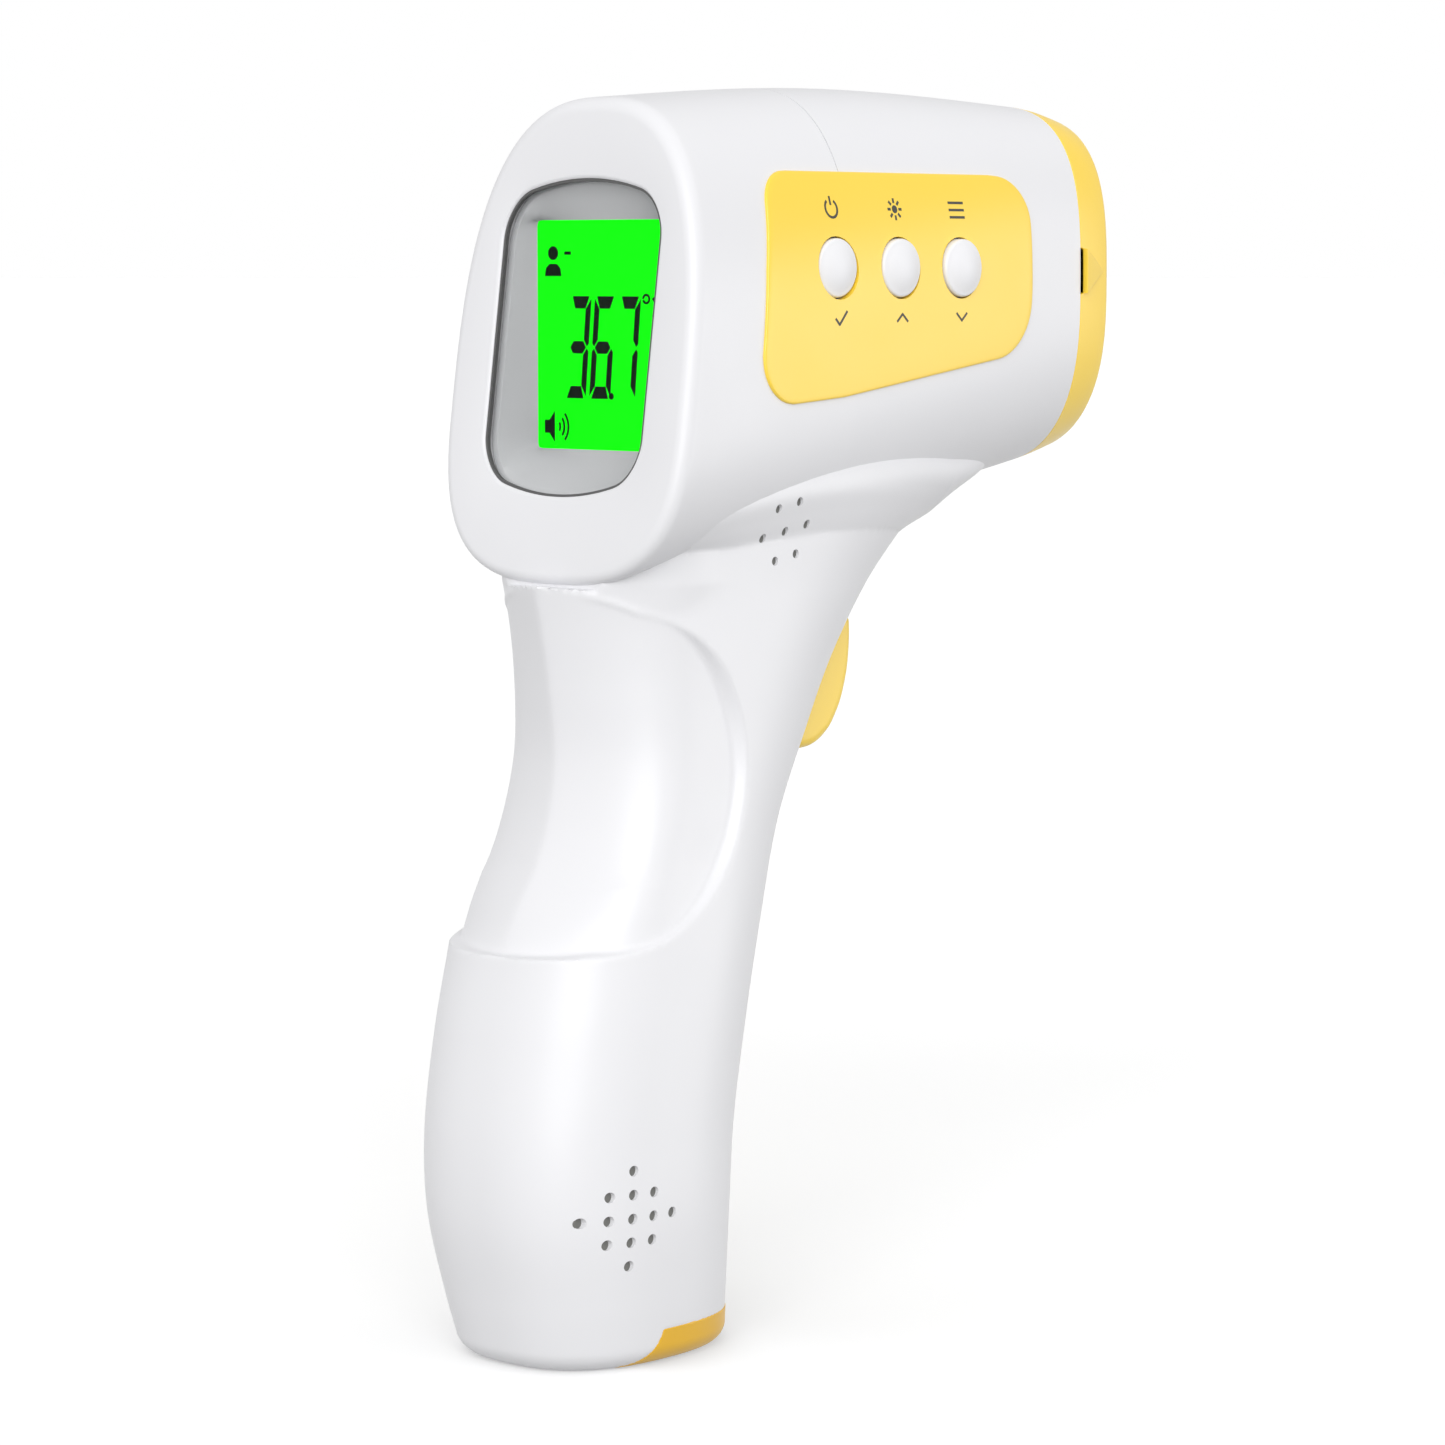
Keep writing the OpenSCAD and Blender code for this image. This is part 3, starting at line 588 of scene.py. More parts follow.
def new_material(name, colour, roughness, **inputs):
    """A Principled material; returns it with its node tree's nodes, links and shader."""
    made = bpy.data.materials.new(name)
    made.use_nodes = True
    nodes = made.node_tree.nodes
    shader = nodes["Principled BSDF"]
    shader.inputs["Base Color"].default_value = (*colour, 1)
    shader.inputs["Roughness"].default_value = roughness
    for key, value in inputs.items():
        shader.inputs[key.replace("_", " ")].default_value = value
    return made, nodes, made.node_tree.links, shader


def noise(nodes, links, scale, detail=3):
    place = nodes.new("ShaderNodeTexCoord")
    texture = nodes.new("ShaderNodeTexNoise")
    texture.inputs["Scale"].default_value = scale
    texture.inputs["Detail"].default_value = detail
    links.new(place.outputs["Object"], texture.inputs["Vector"])
    return texture.outputs["Fac"]


def spread(nodes, links, source, low, high):
    """Maps a noise to a range."""
    ramp = nodes.new("ShaderNodeMapRange")
    ramp.inputs["From Min"].default_value = 0.3
    ramp.inputs["From Max"].default_value = 0.7
    ramp.inputs["To Min"].default_value = low
    ramp.inputs["To Max"].default_value = high
    links.new(source, ramp.inputs["Value"])
    return ramp.outputs["Result"]


def plastic(name, colour, roughness, grain=0.03, mottle=0.015, **inputs):
    """Moulded plastic: fine spark-eroded grain, faint mottling, and uneven gloss from handling."""
    made, nodes, links, shader = new_material(name, colour, roughness, **inputs)
    mix = nodes.new("ShaderNodeMix")
    mix.data_type = "RGBA"
    mix.inputs["A"].default_value = (*[c * (1 - mottle) for c in colour], 1)
    mix.inputs["B"].default_value = (*[min(1, c * (1 + mottle)) for c in colour], 1)
    links.new(noise(nodes, links, 60), mix.inputs["Factor"])
    links.new(mix.outputs["Result"], shader.inputs["Base Color"])
    gloss = spread(nodes, links, noise(nodes, links, 90), roughness * 0.92, roughness * 1.08)
    links.new(gloss, shader.inputs["Roughness"])
    bump = nodes.new("ShaderNodeBump")
    bump.inputs["Strength"].default_value = grain
    bump.inputs["Distance"].default_value = 0.0001
    links.new(noise(nodes, links, 4200, 2), bump.inputs["Height"])
    links.new(bump.outputs["Normal"], shader.inputs["Normal"])
    return made


def metal(name, colour, roughness):
    """Drawn metal with fine lines and uneven polish."""
    made, nodes, links, shader = new_material(name, colour, roughness, Metallic=1)
    place = nodes.new("ShaderNodeTexCoord")
    stretch = nodes.new("ShaderNodeMapping")
    stretch.inputs["Scale"].default_value = (900, 900, 9000)
    lines = nodes.new("ShaderNodeTexNoise")
    lines.inputs["Scale"].default_value = 1
    links.new(place.outputs["Object"], stretch.inputs["Vector"])
    links.new(stretch.outputs["Vector"], lines.inputs["Vector"])
    links.new(spread(nodes, links, lines.outputs["Fac"], roughness * 0.7, roughness * 1.3),
              shader.inputs["Roughness"])
    bump = nodes.new("ShaderNodeBump")
    bump.inputs["Strength"].default_value = 0.08
    bump.inputs["Distance"].default_value = 0.0001
    links.new(lines.outputs["Fac"], bump.inputs["Height"])
    links.new(bump.outputs["Normal"], shader.inputs["Normal"])
    return made


def board_material(name):
    """Solder mask over faint tracks."""
    made, nodes, links, shader = new_material(name, (0.01, 0.11, 0.04), 0.35)
    place = nodes.new("ShaderNodeTexCoord")
    tracks = nodes.new("ShaderNodeTexBrick")
    tracks.inputs["Scale"].default_value = 300
    tracks.inputs["Color1"].default_value = (0.008, 0.1, 0.035, 1)
    tracks.inputs["Color2"].default_value = (0.012, 0.13, 0.045, 1)
    tracks.inputs["Mortar"].default_value = (0.03, 0.2, 0.07, 1)
    turn = nodes.new("ShaderNodeMapping")
    turn.inputs["Rotation"].default_value = (0, math.pi / 2, 0)
    links.new(place.outputs["Object"], turn.inputs["Vector"])
    links.new(turn.outputs["Vector"], tracks.inputs["Vector"])
    links.new(tracks.outputs["Color"], shader.inputs["Base Color"])
    links.new(spread(nodes, links, noise(nodes, links, 200), 0.28, 0.42), shader.inputs["Roughness"])
    return made


def glowing(name, colour, strength, roughness):
    """Backlit glass of the display; the light is a little uneven."""
    made, nodes, links, shader = new_material(name, [c * 0.3 for c in colour], roughness,
                                              Specular_IOR_Level=0)
    mix = nodes.new("ShaderNodeMix")
    mix.data_type = "RGBA"
    mix.inputs["A"].default_value = (*[c * 0.97 for c in colour], 1)
    mix.inputs["B"].default_value = (*colour, 1)
    links.new(noise(nodes, links, 25, 1), mix.inputs["Factor"])
    links.new(mix.outputs["Result"], shader.inputs["Emission Color"])
    shader.inputs["Emission Strength"].default_value = strength
    return made


def clear_lens(name):
    """Thin clear window: mostly see-through, with a gloss on it and faint smears."""
    made, nodes, links, shader = new_material(name, (0.05, 0.06, 0.06), 0.04, Alpha=0.03)
    links.new(spread(nodes, links, noise(nodes, links, 120), 0.02, 0.09), shader.inputs["Roughness"])
    return made


YELLOW = (0.95, 0.66, 0.055)
materials = {
    "white_plastic": plastic("white_plastic", (0.77, 0.77, 0.79), 0.36),
    "yellow_plastic": plastic("yellow_plastic", YELLOW, 0.33, Specular_IOR_Level=0.7),
    "key_plastic": plastic("key_plastic", (0.82, 0.82, 0.84), 0.42),
    "grey_plastic": plastic("grey_plastic", (0.6, 0.61, 0.62), 0.4),
    "dark_plastic": plastic("dark_plastic", (0.03, 0.032, 0.035), 0.45, grain=0.06),
    "lens": clear_lens("lens"),
    "display": glowing("display", (0.004, 1, 0.003), 1.0, 0.25),
    "light_guide": plastic("light_guide", (0.8, 0.82, 0.8), 0.3),
    "circuit_board": board_material("circuit_board"),
    "steel": metal("steel", (0.6, 0.6, 0.62), 0.3),
    "light_metal": metal("light_metal", (0.75, 0.75, 0.77), 0.35),
    "contact_metal": metal("contact_metal", (0.85, 0.6, 0.3), 0.28),
    "filter": plastic("filter", (0.02, 0.02, 0.03), 0.12),
}
ink_grey = plastic("ink_grey", (0.045, 0.045, 0.035), 0.5)
segment_black = plastic("segment_black", (0.003, 0.008, 0.004), 0.35, Specular_IOR_Level=0.05)
gasket_grey = plastic("gasket_grey", (0.09, 0.09, 0.09), 0.5)
cloth_grey = plastic("cloth_grey", (0.17, 0.17, 0.16), 0.8)
# Darker copy of the yellow for the base's toe: painted shade, standing in for the shade that falls on the
# bottom of the base
toe_painted_shade_yellow = plastic("toe_painted_shade_yellow", (0.76, 0.43, 0.014), 0.36)

# ---- CAD nodes that stay: softened edges and their slot's finish ----

replaced = {
    "housing_right", "housing_left", "front_barrel", "nose_ring", "display_bezel", "display_lens",
    "display_well", "button_panel", "side_panel_left", "mode_button", "set_button", "memory_button",
    "trigger", "battery_door", "base_toe", "sensor_hood",
}
slot_of = {row["node"]: row["material_slot"] for row in frame["record"]["subparts"]}
for node, part in frame["nodes"].items():
    if node in replaced:
        continue
    part.data.materials.clear()
    part.data.materials.append(materials[slot_of[node]])
    if node == "lcd_panel":
        part.visible_diffuse = False
        part.visible_glossy = False
    if node not in ("trigger_spring", "lcd_panel"):
        soft = part.modifiers.new("soft_edges", "BEVEL")
        soft.width = 0.15 * MM
        soft.segments = 2
        soft.limit_method = "ANGLE"
        soft.angle_limit = math.radians(50)
        soft.use_clamp_overlap = True


# ---- Housing, barrel and panels ----

def sound_holes():
    """A ring of holes over the buzzer and a diamond of holes over the speaker."""
    x0, z0 = BUZZER
    holes = [((x0, -9, z0), (x0, -20, z0), BUZZER_HOLE_R)]
    for k in range(6):
        a = math.radians(11 + 60 * k)
        x, z = x0 + BUZZER_RING * math.cos(a), z0 + BUZZER_RING * math.sin(a)
        holes.append(((x, -9, z), (x, -20, z), BUZZER_HOLE_R))
    for a in range(-2, 3):
        for b in range(-2, 3):
            if abs(a) + abs(b) <= 2:
                x, z = SPEAKER[0] + SPEAKER_PITCH[0] * a, SPEAKER[1] + SPEAKER_PITCH[1] * b
                holes.append(((x, -7, z), (x, -19, z), SPEAKER_HOLE_R))
    return holes


def make_housing():
    whole = field_piece("housing", housing_form, (-52.2, -19.2, -1.2), (41.3, 19.3, 110.2), 0.42)
    cut_opening(whole, door_opening, (0, 33.0), -24.0, 2.0)
    cut_opening(whole, trigger_slot, (0, TRIGGER_SLOT_Z), -6.0, 30.0)
    right, left = split_at_y0(whole, "housing_right_shell", "housing_left_shell")
    holes = sound_holes()
    if fine:
        drill(right, holes)
        make_grilles(holes)
        drill(left, [((x, 9, z), (x, 24, z), SCREW_HEAD_R) for x, z in GRIP_SCREWS])
    lug = field_piece("door_hinge_lug", door_lug, (-21.6, -3.5, 4.2), (-15.6, 3.6, 12), 0.2)
    for piece, node in ((right, "housing_right"), (left, "housing_left"), (lug, "housing_right")):
        add_piece(piece, "case", "white_plastic", node)


def make_grilles(holes):
    """Dark cloth discs a little way down each sound hole."""
    shapes = [circle_shape(start[0], start[2], radius + 0.05, 16) for start, _, radius in holes]
    centres = np.array([(start[0], start[2]) for start, _, _ in holes])
    skin = np.full(len(holes), -19.5)
    for _ in range(40):
        skin += body_form(centres[:, 0], skin, centres[:, 1])

    def lay(a, b, t):
        nearest = np.argmin(np.hypot(centres[:, 0] - a, centres[:, 1] - b))
        return (a, float(skin[nearest]) + 0.4 + t, b)

    cloth = thin_shapes("grille_cloth", shapes, lay, 0.5)
    add_piece(cloth, "case", "dark_plastic", finish=cloth_grey)


def barrel_section(x_mid, slope, inset):
    """Ring of the barrel on an upright plane that leans by slope; x_mid is its x at the nose's height."""
    def inside(across, up):
        return barrel_form(x_mid + (up - NOSE_Z) * slope, across, up) + inset

    loop = polar_loop(inside, (0, NOSE_Z), 288)
    return np.stack([x_mid + (loop[:, 1] - NOSE_Z) * slope, loop[:, 0], loop[:, 1]], 1)


def key_bores():
    return [((x, -10, KEY_Z), (x, -24, KEY_Z), KEY_R + 0.3) for x in KEY_X]


def make_head():
    """Rear of the barrel, from the display bezel to the seam; its seam shows above the side panels."""
    rear = FACE_X + ((NOSE_Z - FACE_Z) * math.sin(FACE_LEAN) + BEZEL_T) / math.cos(FACE_LEAN)
    rings = []
    for s, inset in [(t / 10, 0) for t in range(11)] + [(1 - t / 5, HEAD_WALL) for t in range(6)]:
        ring = barrel_section(rear + (SEAM_X - rear) * s, math.tan(FACE_LEAN) * (1 - s), inset)
        if s == 1:
            ring[:, 0] += np.where(ring[:, 2] < 142, SEAM_GAP, 0)
        rings.append(ring)
    right, left = split_at_y0(band("head", rings), "housing_right_head", "housing_left_head")
    if fine:
        drill(right, key_bores())
        x, z = HEAD_SCREW
        drill(left, [((x, 9, z), (x, 24, z), SCREW_HEAD_R)])
    add_piece(right, "case", "white_plastic", "housing_right")
    add_piece(left, "case", "white_plastic", "housing_left")


def make_front_barrel():
    start, stop = SEAM_X + SEAM_GAP, RING_X - 0.08
    outer = [barrel_section(start + (stop - start) * t / 12, 0, 0) for t in range(13)]
    inner = [barrel_section(stop + (start - stop) * t / 6, 0, HEAD_WALL) for t in range(7)]
    sleeve = band("front_barrel_sleeve", outer + inner)
    if fine:
        drill(sleeve, key_bores())
    add_piece(sleeve, "case", "white_plastic", "front_barrel")


def on_skin(loop, height, side):
    """Points (x, z) put at a height above the barrel's skin."""
    x, z = loop[:, 0], loop[:, 1]
    y = np.full(len(loop), 18.0)
    for _ in range(16):
        y -= barrel_form(x, y, z) - height
    return np.stack([x, side * y, z], 1)


def make_panel(name, side):
    """Side panel that follows the barrel, with a rounded rim and rows of points across its face."""
    centre = np.array([8.0, 130.5])
    round_rim = [(0, -0.25), (0.03, -0.12), (0.12, -0.03), (0.25, 0)]
    rim = [(0, -PANEL_DEEP)] + [(inset, PANEL_PROUD + drop) for inset, drop in round_rim]
    rings = []
    for inset, height in rim:
        loop = polar_loop(lambda a, u: panel_outline(a, u) + inset, centre)
        rings.append(on_skin(loop, height, side))
    for k in np.linspace(0.97, 0.02, 28):
        rings.append(on_skin(centre + k * (loop - centre), PANEL_PROUD, side))
    under = [on_skin(centre + k * (loop - centre), -PANEL_DEEP, side) for k in np.linspace(0.02, 0.98, 12)]
    return band(name, under + rings, closed=False, sharp=60)


def make_panels():
    right = make_panel("button_panel_right", -1)
    if fine:
        drill(right, [(start, stop, KEY_R + 0.25) for start, stop, _ in key_bores()])
    add_piece(right, "case", "yellow_plastic", "button_panel")
    add_piece(make_panel("side_panel_plain", 1), "case", "yellow_plastic", "side_panel_left")


def make_keys():
    names = ("mode_button", "set_button", "memory_button")
    bodies = ("mode_key", "set_key", "memory_key")
    for x, node, body in zip(KEY_X, names, bodies):
        dome = [(r, 4.15 - r * r / 14.3 * 0.95) for r in np.linspace(3.1, 0.25, 10)]
        profile = [(4.2, 0), (4.2, 1), (3.6, 1), (3.6, 3.1)] + arc((3.2, 3.1), 0.4, 15, 75, 4) + dome
        key = lathe(node + "_cap", profile, lambda s, u, v, x=x: (x + u, -15.4 - s, KEY_Z + v), 72, 50)
        add_piece(key, body, "key_plastic", node)


# ---- Display ----

def on_face(depth, loop):
    """World points of a loop (across, up the face) at a depth behind the face."""
    across, up = loop[:, 0], loop[:, 1]
    c, s = math.cos(FACE_LEAN), math.sin(FACE_LEAN)
    return np.stack([FACE_X + depth * c + up * s, across, FACE_Z - depth * s + up * c], 1)


LOOP_CENTRE = (0, 30)


def face_ring(depth, inset):
    """Ring of the head at a depth behind the face, drawn in by inset."""
    c, s = math.cos(FACE_LEAN), math.sin(FACE_LEAN)

    def inside(across, up):
        return barrel_form(FACE_X + depth * c + up * s, across, FACE_Z - depth * s + up * c) + inset

    return on_face(depth, polar_loop(inside, LOOP_CENTRE))


def window_loop(grow):
    """Outline of the display window in the bezel, grown all round."""
    def inside(across, up):
        top = np.hypot(across, up - 17.3) - 32
        bottom = np.hypot(across, up - 43) - 32
        return round_max(round_max(np.abs(across) - 13, top, 4), bottom, 4) - grow
    return polar_loop(inside, LOOP_CENTRE)


def glass_loop(x, grow):
    """Rectangle of the display glass at x, as world points."""
    middle = (LCD_LOW + LCD_HIGH) / 2
    half = (LCD_HIGH - LCD_LOW) / 2
    loop = polar_loop(lambda a, u: rounded_box(a, u - middle, LCD_HALF, half, 0.5) - grow, (0, middle))
    return np.stack([np.full(len(loop), x), loop[:, 0], loop[:, 1]], 1)


def make_bezel():
    rings = [face_ring(BEZEL_T, 0), face_ring(2.5, 0)]
    for a in range(0, 91, 9):
        t = math.radians(a)
        rings.append(face_ring(1.8 * (1 - math.sin(t)), 1.8 * (1 - math.cos(t))))
    edge = [(0, 0.5), (0.05, 0.25), (0.25, 0.05), (0.9, 0), (0.9, 0.8), (BEZEL_T, 0.8)]
    rings += [on_face(depth, window_loop(grow)) for depth, grow in edge]
    add_piece(band("display_bezel_frame", rings), "case", "white_plastic", "display_bezel")
    lip = [(0.35, 0.05), (0.3, -0.12), (0.35, -0.28), (0.88, -0.28), (0.88, 0.05)]
    gasket = band("window_gasket", [on_face(d, window_loop(g)) for d, g in lip])
    add_piece(gasket, "case", "dark_plastic", finish=gasket_grey)


def make_lens():
    rings = [on_face(1.15, window_loop(0.7)), on_face(0.96, window_loop(0.5))]
    rings = [on_face(1.95, window_loop(0.5)), on_face(1.85, window_loop(0.7))] + rings
    add_piece(band("display_lens_plate", rings, closed=False), "case", "lens", "display_lens")


def make_well():
    start = on_face(2.05, window_loop(-0.35))
    end = glass_loop(LCD_X - 0.1, 0)
    rings = [on_face(2.0, window_loop(0.6)), on_face(2.0, window_loop(-0.1))]
    rings += [start + (end - start) * t for t in np.linspace(0, 1, 9)]
    rings += [glass_loop(LCD_X - 0.1, 1.1), on_face(4.5, window_loop(1.1)), on_face(3.3, window_loop(0.6))]
    add_piece(band("display_well_walls", rings, sharp=50), "case", "grey_plastic", "display_well")


# Segment bars of a digit: lit ones per character, in the order top, upper right, lower right,
# bottom, lower left, upper left, middle
SEGMENTS = {"3": "1111001", "6": "1011111", "7": "1110000"}
DIGIT_W = 3.5
DIGIT_H = 12.4
DIGIT_LEAN = 0.085


def digit_shapes(character, right_y, low_z):
    """Polygons (y, z) of one digit; the viewer sees +Y on the left."""
    w, h, m = DIGIT_W, DIGIT_H, DIGIT_H / 2
    bar, post, gap = 1.5, 0.85, 0.12
    flat = [(0.35, h), (w - 0.35, h), (w - post - 0.05, h - bar), (post + 0.05, h - bar)]
    middle = [(0.45, m), (post + 0.1, m + bar / 2), (w - post - 0.1, m + bar / 2), (w - 0.45, m),
              (w - post - 0.1, m - bar / 2), (post + 0.1, m - bar / 2)]
    upper = [(w, h - 0.3), (w, m + 0.5), (w - 0.3, m + gap), (w - post, m + bar / 2 + 0.2),
             (w - post, h - bar - 0.1)]

    def mirror(shape, across=False, over=False):
        return [((w - a) if across else a, (h - b) if over else b) for a, b in shape]

    shapes = [flat, upper, mirror(upper, over=True), mirror(flat, over=True),
              mirror(upper, True, True), mirror(upper, True), middle]
    lit = [s for s, on in zip(shapes, SEGMENTS[character]) if on == "1"]
    left_y = right_y + w
    return [[(left_y - a - DIGIT_LEAN * b, low_z + b) for a, b in s] for s in lit]


def circle_shape(y, z, r, count=20):
    return [(y + r * math.cos(k * math.tau / count), z + r * math.sin(k * math.tau / count))
            for k in range(count)]


def arc_shape(y, z, r, width, start, stop, steps=10):
    """A curved stroke as a polygon; angles in degrees, 0 towards +y."""
    turns = [math.radians(start + (stop - start) * k / steps) for k in range(steps + 1)]
    outer = [(y + (r + width / 2) * math.cos(t), z + (r + width / 2) * math.sin(t)) for t in turns]
    inner = [(y + (r - width / 2) * math.cos(t), z + (r - width / 2) * math.sin(t)) for t in turns]
    return outer + inner[::-1]


def stroke(a, b, width):
    """A straight stroke between two points as a polygon."""
    dx, dz = b[0] - a[0], b[1] - a[1]
    n = width / 2 / math.hypot(dx, dz)
    return [(a[0] - dz * n, a[1] + dx * n), (b[0] - dz * n, b[1] + dx * n),
            (b[0] + dz * n, b[1] - dx * n), (a[0] + dz * n, a[1] - dx * n)]


def thin_shapes(name, shapes, lay, thickness):
    """Raised flat shapes; lay maps (a, b, height) to a world point."""
    points, faces = [], []
    for shape in shapes:
        n, start = len(shape), len(points)
        points += [lay(a, b, 0) for a, b in shape] + [lay(a, b, thickness) for a, b in shape]
        faces.append(tuple(range(start, start + n)))
        faces.append(tuple(range(start + 2 * n - 1, start + n - 1, -1)))
        for i in range(n):
            k = (i + 1) % n
            faces.append((start + i, start + n + i, start + n + k, start + k))
    piece = add_mesh(name, points, faces, None)
    face_outward(piece)
    piece.data.set_sharp_from_angle(angle=math.radians(30))
    return piece


def make_digits():
    low = 115.8
    shapes = []
    for character, right_y in zip("367", (4, -0.1, -4.2)):
        shapes += digit_shapes(character, right_y, low)
    shapes.append(circle_shape(-0.3, low + 0.35, 0.42))
    shapes.append(arc_shape(-6.1, 127.9, 0.5, 0.3, 0, 345, 16))
    shapes.append(arc_shape(-7.9, 126.9, 1.1, 0.5, 50, 310, 12))
    # forehead pictogram: a plain head, shoulders and a ray
    shapes.append(circle_shape(9.4, 133.4, 0.85))
    shapes.append([(10.8, 130.6), (10.6, 131.6), (10, 132.1), (8.8, 132.1), (8.2, 131.6), (8, 130.6)])
    shapes.append(stroke((7.5, 133.4), (6.4, 133.4), 0.4))
    # loudspeaker with sound waves
    shapes.append([(10.9, 111.5), (10.9, 113.1), (10.1, 113.1), (9.2, 114.2), (9.2, 110.4), (10.1, 111.5)])
    for r, reach in ((1, 30), (1.7, 38), (2.4, 42)):
        shapes.append(arc_shape(9.3, 112.3, r, 0.28, 180 - reach, 180 + reach))
    digits = thin_shapes("lcd_segments", shapes, lambda a, b, t: (LCD_X - 0.02 - t, a, b), 0.04)
    add_piece(digits, "case", "dark_plastic", finish=segment_black)


# ---- Key pictograms ----

def on_panel(x, z, height):
    """Point on the outside of the right panel."""
    y = np.array([-18.0])
    for _ in range(12):
        value = barrel_form(np.array([float(x)]), y, np.array([float(z)])) - PANEL_PROUD - height
        y = y + value
    return (x, float(y[0]), z)


def make_pictograms():
    """Power, lamp and menu signs above the keys, and a tick and two arrows below them."""
    shapes = []
    x0, x1, x2 = KEY_X
    zu, zd = KEY_Z + 7.2, KEY_Z - 6.1
    shapes += [arc_shape(x0, zu, 1.1, 0.32, 125, 415, 16), stroke((x0, zu + 0.4), (x0, zu + 1.5), 0.32)]
    shapes += [circle_shape(x1, zu, 0.5, 14)]
    shapes += [stroke((x1 + 0.75 * math.cos(t), zu + 0.75 * math.sin(t)),
                      (x1 + 1.35 * math.cos(t), zu + 1.35 * math.sin(t)), 0.34)
               for t in [k * math.tau / 8 for k in range(8)]]
    shapes += [stroke((x2 - 1.5, zu + d), (x2 + 1.5, zu + d), 0.32) for d in (-0.9, 0, 0.9)]
    shapes.append(stroke((x0 - 1.1, zd), (x0 - 0.3, zd - 0.8), 0.32))
    shapes.append(stroke((x0 - 0.38, zd - 0.8), (x0 + 1.2, zd + 0.9), 0.32))
    for x, tip in ((x1, 0.5), (x2, -0.5)):
        shapes += [stroke((x - 1.1, zd - tip), (x + 0.06, zd + tip), 0.3),
                   stroke((x - 0.06, zd + tip), (x + 1.1, zd - tip), 0.3)]
    marks = thin_shapes("key_pictograms", shapes, lambda a, b, t: on_panel(a, b, t - 0.01), 0.03)
    add_piece(marks, "case", "dark_plastic", finish=ink_grey)


# ---- Nose ----

def barrel_loop(x, inset, count=240):
    """Ring of the barrel at x, drawn in by inset."""
    low, mid, top, half, below, above = [float(v) for v in stations(BARREL, np.array(float(x)))]

    def inside(across, up):
        w = up - mid
        reach = np.where(w > 0, top - mid, mid - low) - inset
        n = np.where(w > 0, above, below)
        return np.abs(across / (half - inset)) ** n + np.abs(w / reach) ** n - 1

    loop = polar_loop(inside, (0, NOSE_Z), count)
    return np.stack([np.full(count, float(x)), loop[:, 0], loop[:, 1]], 1)


def circle_loop(x, r, count=240):
    a = np.arange(count) * math.tau / count
    return np.stack([np.full(count, float(x)), r * np.cos(a), NOSE_Z + r * np.sin(a)], 1)


def make_nose():
    rings = [barrel_loop(RING_X, 0.12), barrel_loop(RING_X + 0.15, 0)]
    rings += [barrel_loop(x, 0) for x in (46, 48)]
    for a in range(0, 91, 15):
        t = math.radians(a)
        rings.append(barrel_loop(NOSE_X - 1.4 * (1 - math.sin(t)), 1.4 * (1 - math.cos(t))))
    rings += [barrel_loop(NOSE_X, 2.3), barrel_loop(NOSE_X - 0.3, 2.6), barrel_loop(RING_X, 2.6)]
    ring = band("nose_ring_band", rings)
    if fine:
        notches = [((43, y, 128.2), (44.55, y + 3.4, 134.2)) for y in (-19, 15.6)]
        drill(ring, (), notches)
    add_piece(ring, "case", "yellow_plastic", "nose_ring")
    hood = [barrel_loop(48, 2.7), barrel_loop(48, 3.4), circle_loop(47.6, 12.2), circle_loop(46.9, 11.8)]
    hood += [circle_loop(46.9 - 8.5 * t, 11.8 - 5.6 * t) for t in (0.25, 0.5, 0.75, 1)]
    hood += [circle_loop(38.4, 5.5), circle_loop(37, 5.5), circle_loop(37, 8), circle_loop(46.2, 14)]
    hood += [barrel_loop(46.4, 3), barrel_loop(46.4, 2.7)]
    add_piece(band("sensor_hood_funnel", hood), "case", "dark_plastic", "sensor_hood")
    for side, name in ((-1, "nose_pointer_right"), (1, "nose_pointer_left")):
        make_pointer(side, name)


def make_pointer(side, name):
    """Small arrowhead moulded on the ring, highest at its rear edge, behind which the ring is notched."""
    def form(x, y, z):
        skin = barrel_form(x, y, z)
        u, v = x - RING_X - 0.55, np.abs(z - 131.2)
        height = 0.75 - 0.13 * u
        slab = np.maximum(skin - height, -0.8 - skin)
        edge = (2.9 * u + 4.9 * v - 2.9 * 4.9) / math.hypot(2.9, 4.9)
        return round_max(slab, np.maximum(edge, -u), 0.06)
    low, high = (43.6, 14, 127), (50.2, 18.6, 135.4)
    if side < 0:
        low, high = (low[0], -high[1], low[2]), (high[0], -low[1], high[2])
    pointer = field_piece(name, form, low, high, 0.12, sharp=30)
    add_piece(pointer, "case", "yellow_plastic", "nose_ring")


# ---- Trigger, door and toe ----

def make_moving_parts():
    trigger = field_piece("trigger_lever_cap", trigger_form, (-1.2, -5.7, 69.7), (14.2, 5.8, 95.2), 0.28)
    add_piece(trigger, "trigger_lever", "yellow_plastic", "trigger")
    door = field_piece("battery_door_panel", door_form, (-20.3, -11.2, 7.2), (-5.2, 11.3, 58.8), 0.3)
    add_piece(door, "door", "yellow_plastic", "battery_door")
    toe = field_piece("base_toe_cap", toe_form, (-38.8, -17.2, -0.7), (-11.7, 17.3, 5.4), 0.22)
    # The toe takes the darker yellow, which is painted shade and not a different plastic
    add_piece(toe, "case", "yellow_plastic", "base_toe", finish=toe_painted_shade_yellow)
    for piece in (door, toe):
        piece.visible_diffuse = False


make_housing()
make_head()
make_front_barrel()
make_panels()
make_keys()
make_bezel()
make_lens()
make_well()
make_digits()
make_pictograms()
make_nose()
make_moving_parts()

# ---- Floor, lights and camera ----

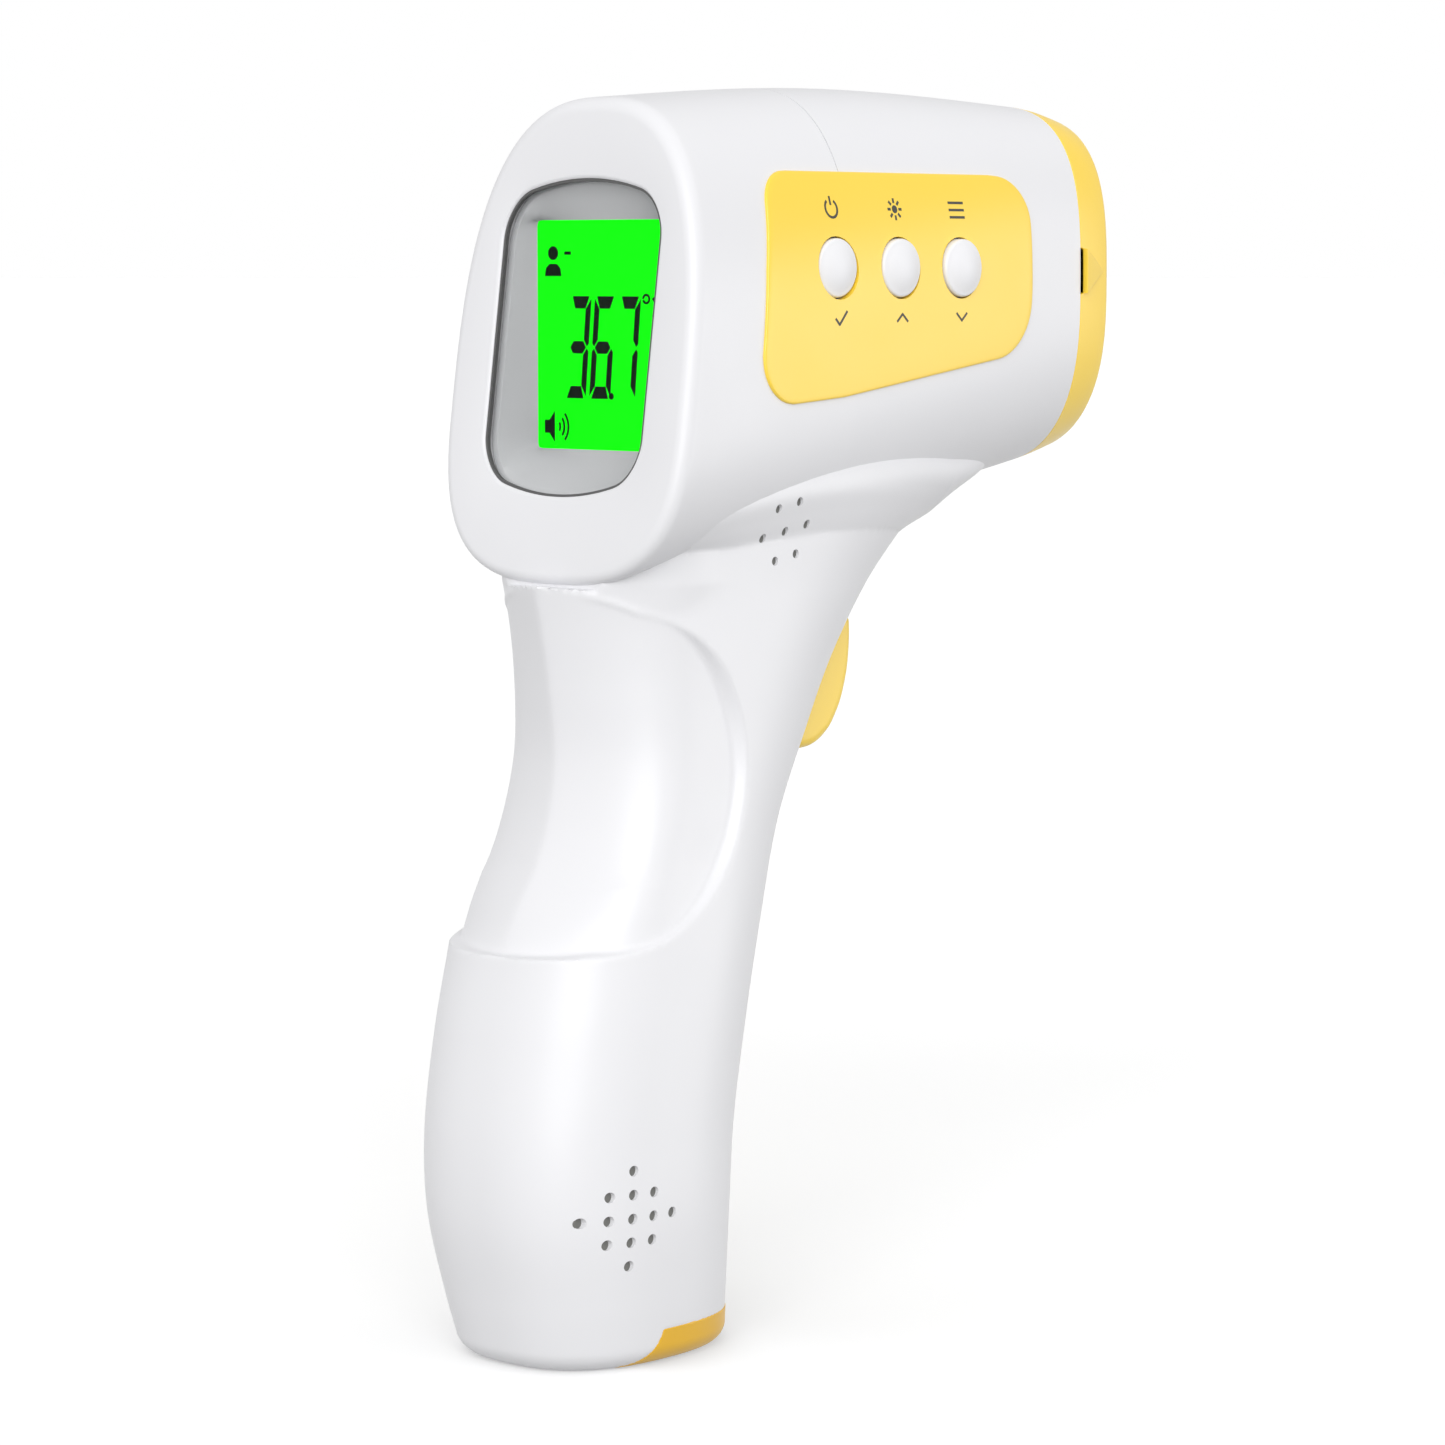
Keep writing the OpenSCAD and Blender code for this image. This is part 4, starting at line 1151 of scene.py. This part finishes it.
def add_floor():
    """Pale floor. The object takes its light from below from the world, not from the floor."""
    size = 80.0
    mesh = bpy.data.meshes.new("floor")
    corners = [(-size, -size, 0), (size, -size, 0), (size, size, 0), (-size, size, 0)]
    mesh.from_pydata(corners, [], [(0, 1, 2, 3)])
    floor = bpy.data.objects.new("floor", mesh)
    bpy.context.scene.collection.objects.link(floor)
    floor.visible_diffuse = False
    floor.visible_shadow = False
    made, nodes, links, shader = new_material("floor", (0.9, 0.9, 0.9), 0.7)
    shader.inputs["Emission Color"].default_value = (1, 1, 1, 1)
    shader.inputs["Emission Strength"].default_value = 0.22
    links.new(spread(nodes, links, noise(nodes, links, 3), 0.6, 0.75), shader.inputs["Roughness"])
    mesh.materials.append(made)


def add_world():
    """Soft studio light: white at the horizon, paler above it and dim below it."""
    world = bpy.data.worlds.new("studio")
    world.use_nodes = True
    nodes, links = world.node_tree.nodes, world.node_tree.links
    place = nodes.new("ShaderNodeTexCoord")
    split = nodes.new("ShaderNodeSeparateXYZ")
    height = nodes.new("ShaderNodeMapRange")
    height.inputs["From Min"].default_value = -1
    ramp = nodes.new("ShaderNodeValToRGB")
    stops = ramp.color_ramp.elements
    for at, grey in ((0.43, 0.34), (0.49, 1), (0.53, 1)):
        stops.new(at).color = (grey, grey, grey, 1)
    stops[0].color = (0.34, 0.34, 0.34, 1)
    stops[len(stops) - 1].position = 0.65
    stops[len(stops) - 1].color = (0.7, 0.7, 0.7, 1)
    links.new(place.outputs["Generated"], split.inputs["Vector"])
    links.new(split.outputs["Z"], height.inputs["Value"])
    links.new(height.outputs["Result"], ramp.inputs["Fac"])
    links.new(ramp.outputs["Color"], nodes["Background"].inputs["Color"])
    bpy.context.scene.world = world


def add_sun(name, direction, strength, spread_degrees):
    """Even light over everything; direction points to where it comes from."""
    light = bpy.data.lights.new(name, "SUN")
    light.energy = strength
    light.angle = math.radians(spread_degrees)
    lamp = bpy.data.objects.new(name, light)
    lamp.rotation_euler = Vector(direction).to_track_quat("Z", "Y").to_euler()
    bpy.context.scene.collection.objects.link(lamp)


def add_camera():
    azimuth, elevation, distance = math.radians(-48), math.radians(5.6), 0.583
    aim = Vector((-6.5, 0, 75)) * MM
    back = Vector((math.sin(azimuth) * math.cos(elevation), -math.cos(azimuth) * math.cos(elevation),
                   math.sin(elevation)))
    data = bpy.data.cameras.new("camera")
    data.sensor_width = 36
    data.lens = 116.1
    data.clip_start, data.clip_end = 0.01, 50
    camera = bpy.data.objects.new("camera", data)
    camera.location = aim + distance * back
    camera.rotation_euler = (-back).to_track_quat("-Z", "Y").to_euler()
    bpy.context.scene.collection.objects.link(camera)
    bpy.context.scene.camera = camera


add_floor()
add_world()
add_sun("key", (-0.75, -0.6, 0.38), 1.85, 50)
add_sun("strip", (0.74, -0.67, -0.02), 0.4, 25)
add_camera()
bpy.context.scene.view_settings.view_transform = "Standard"
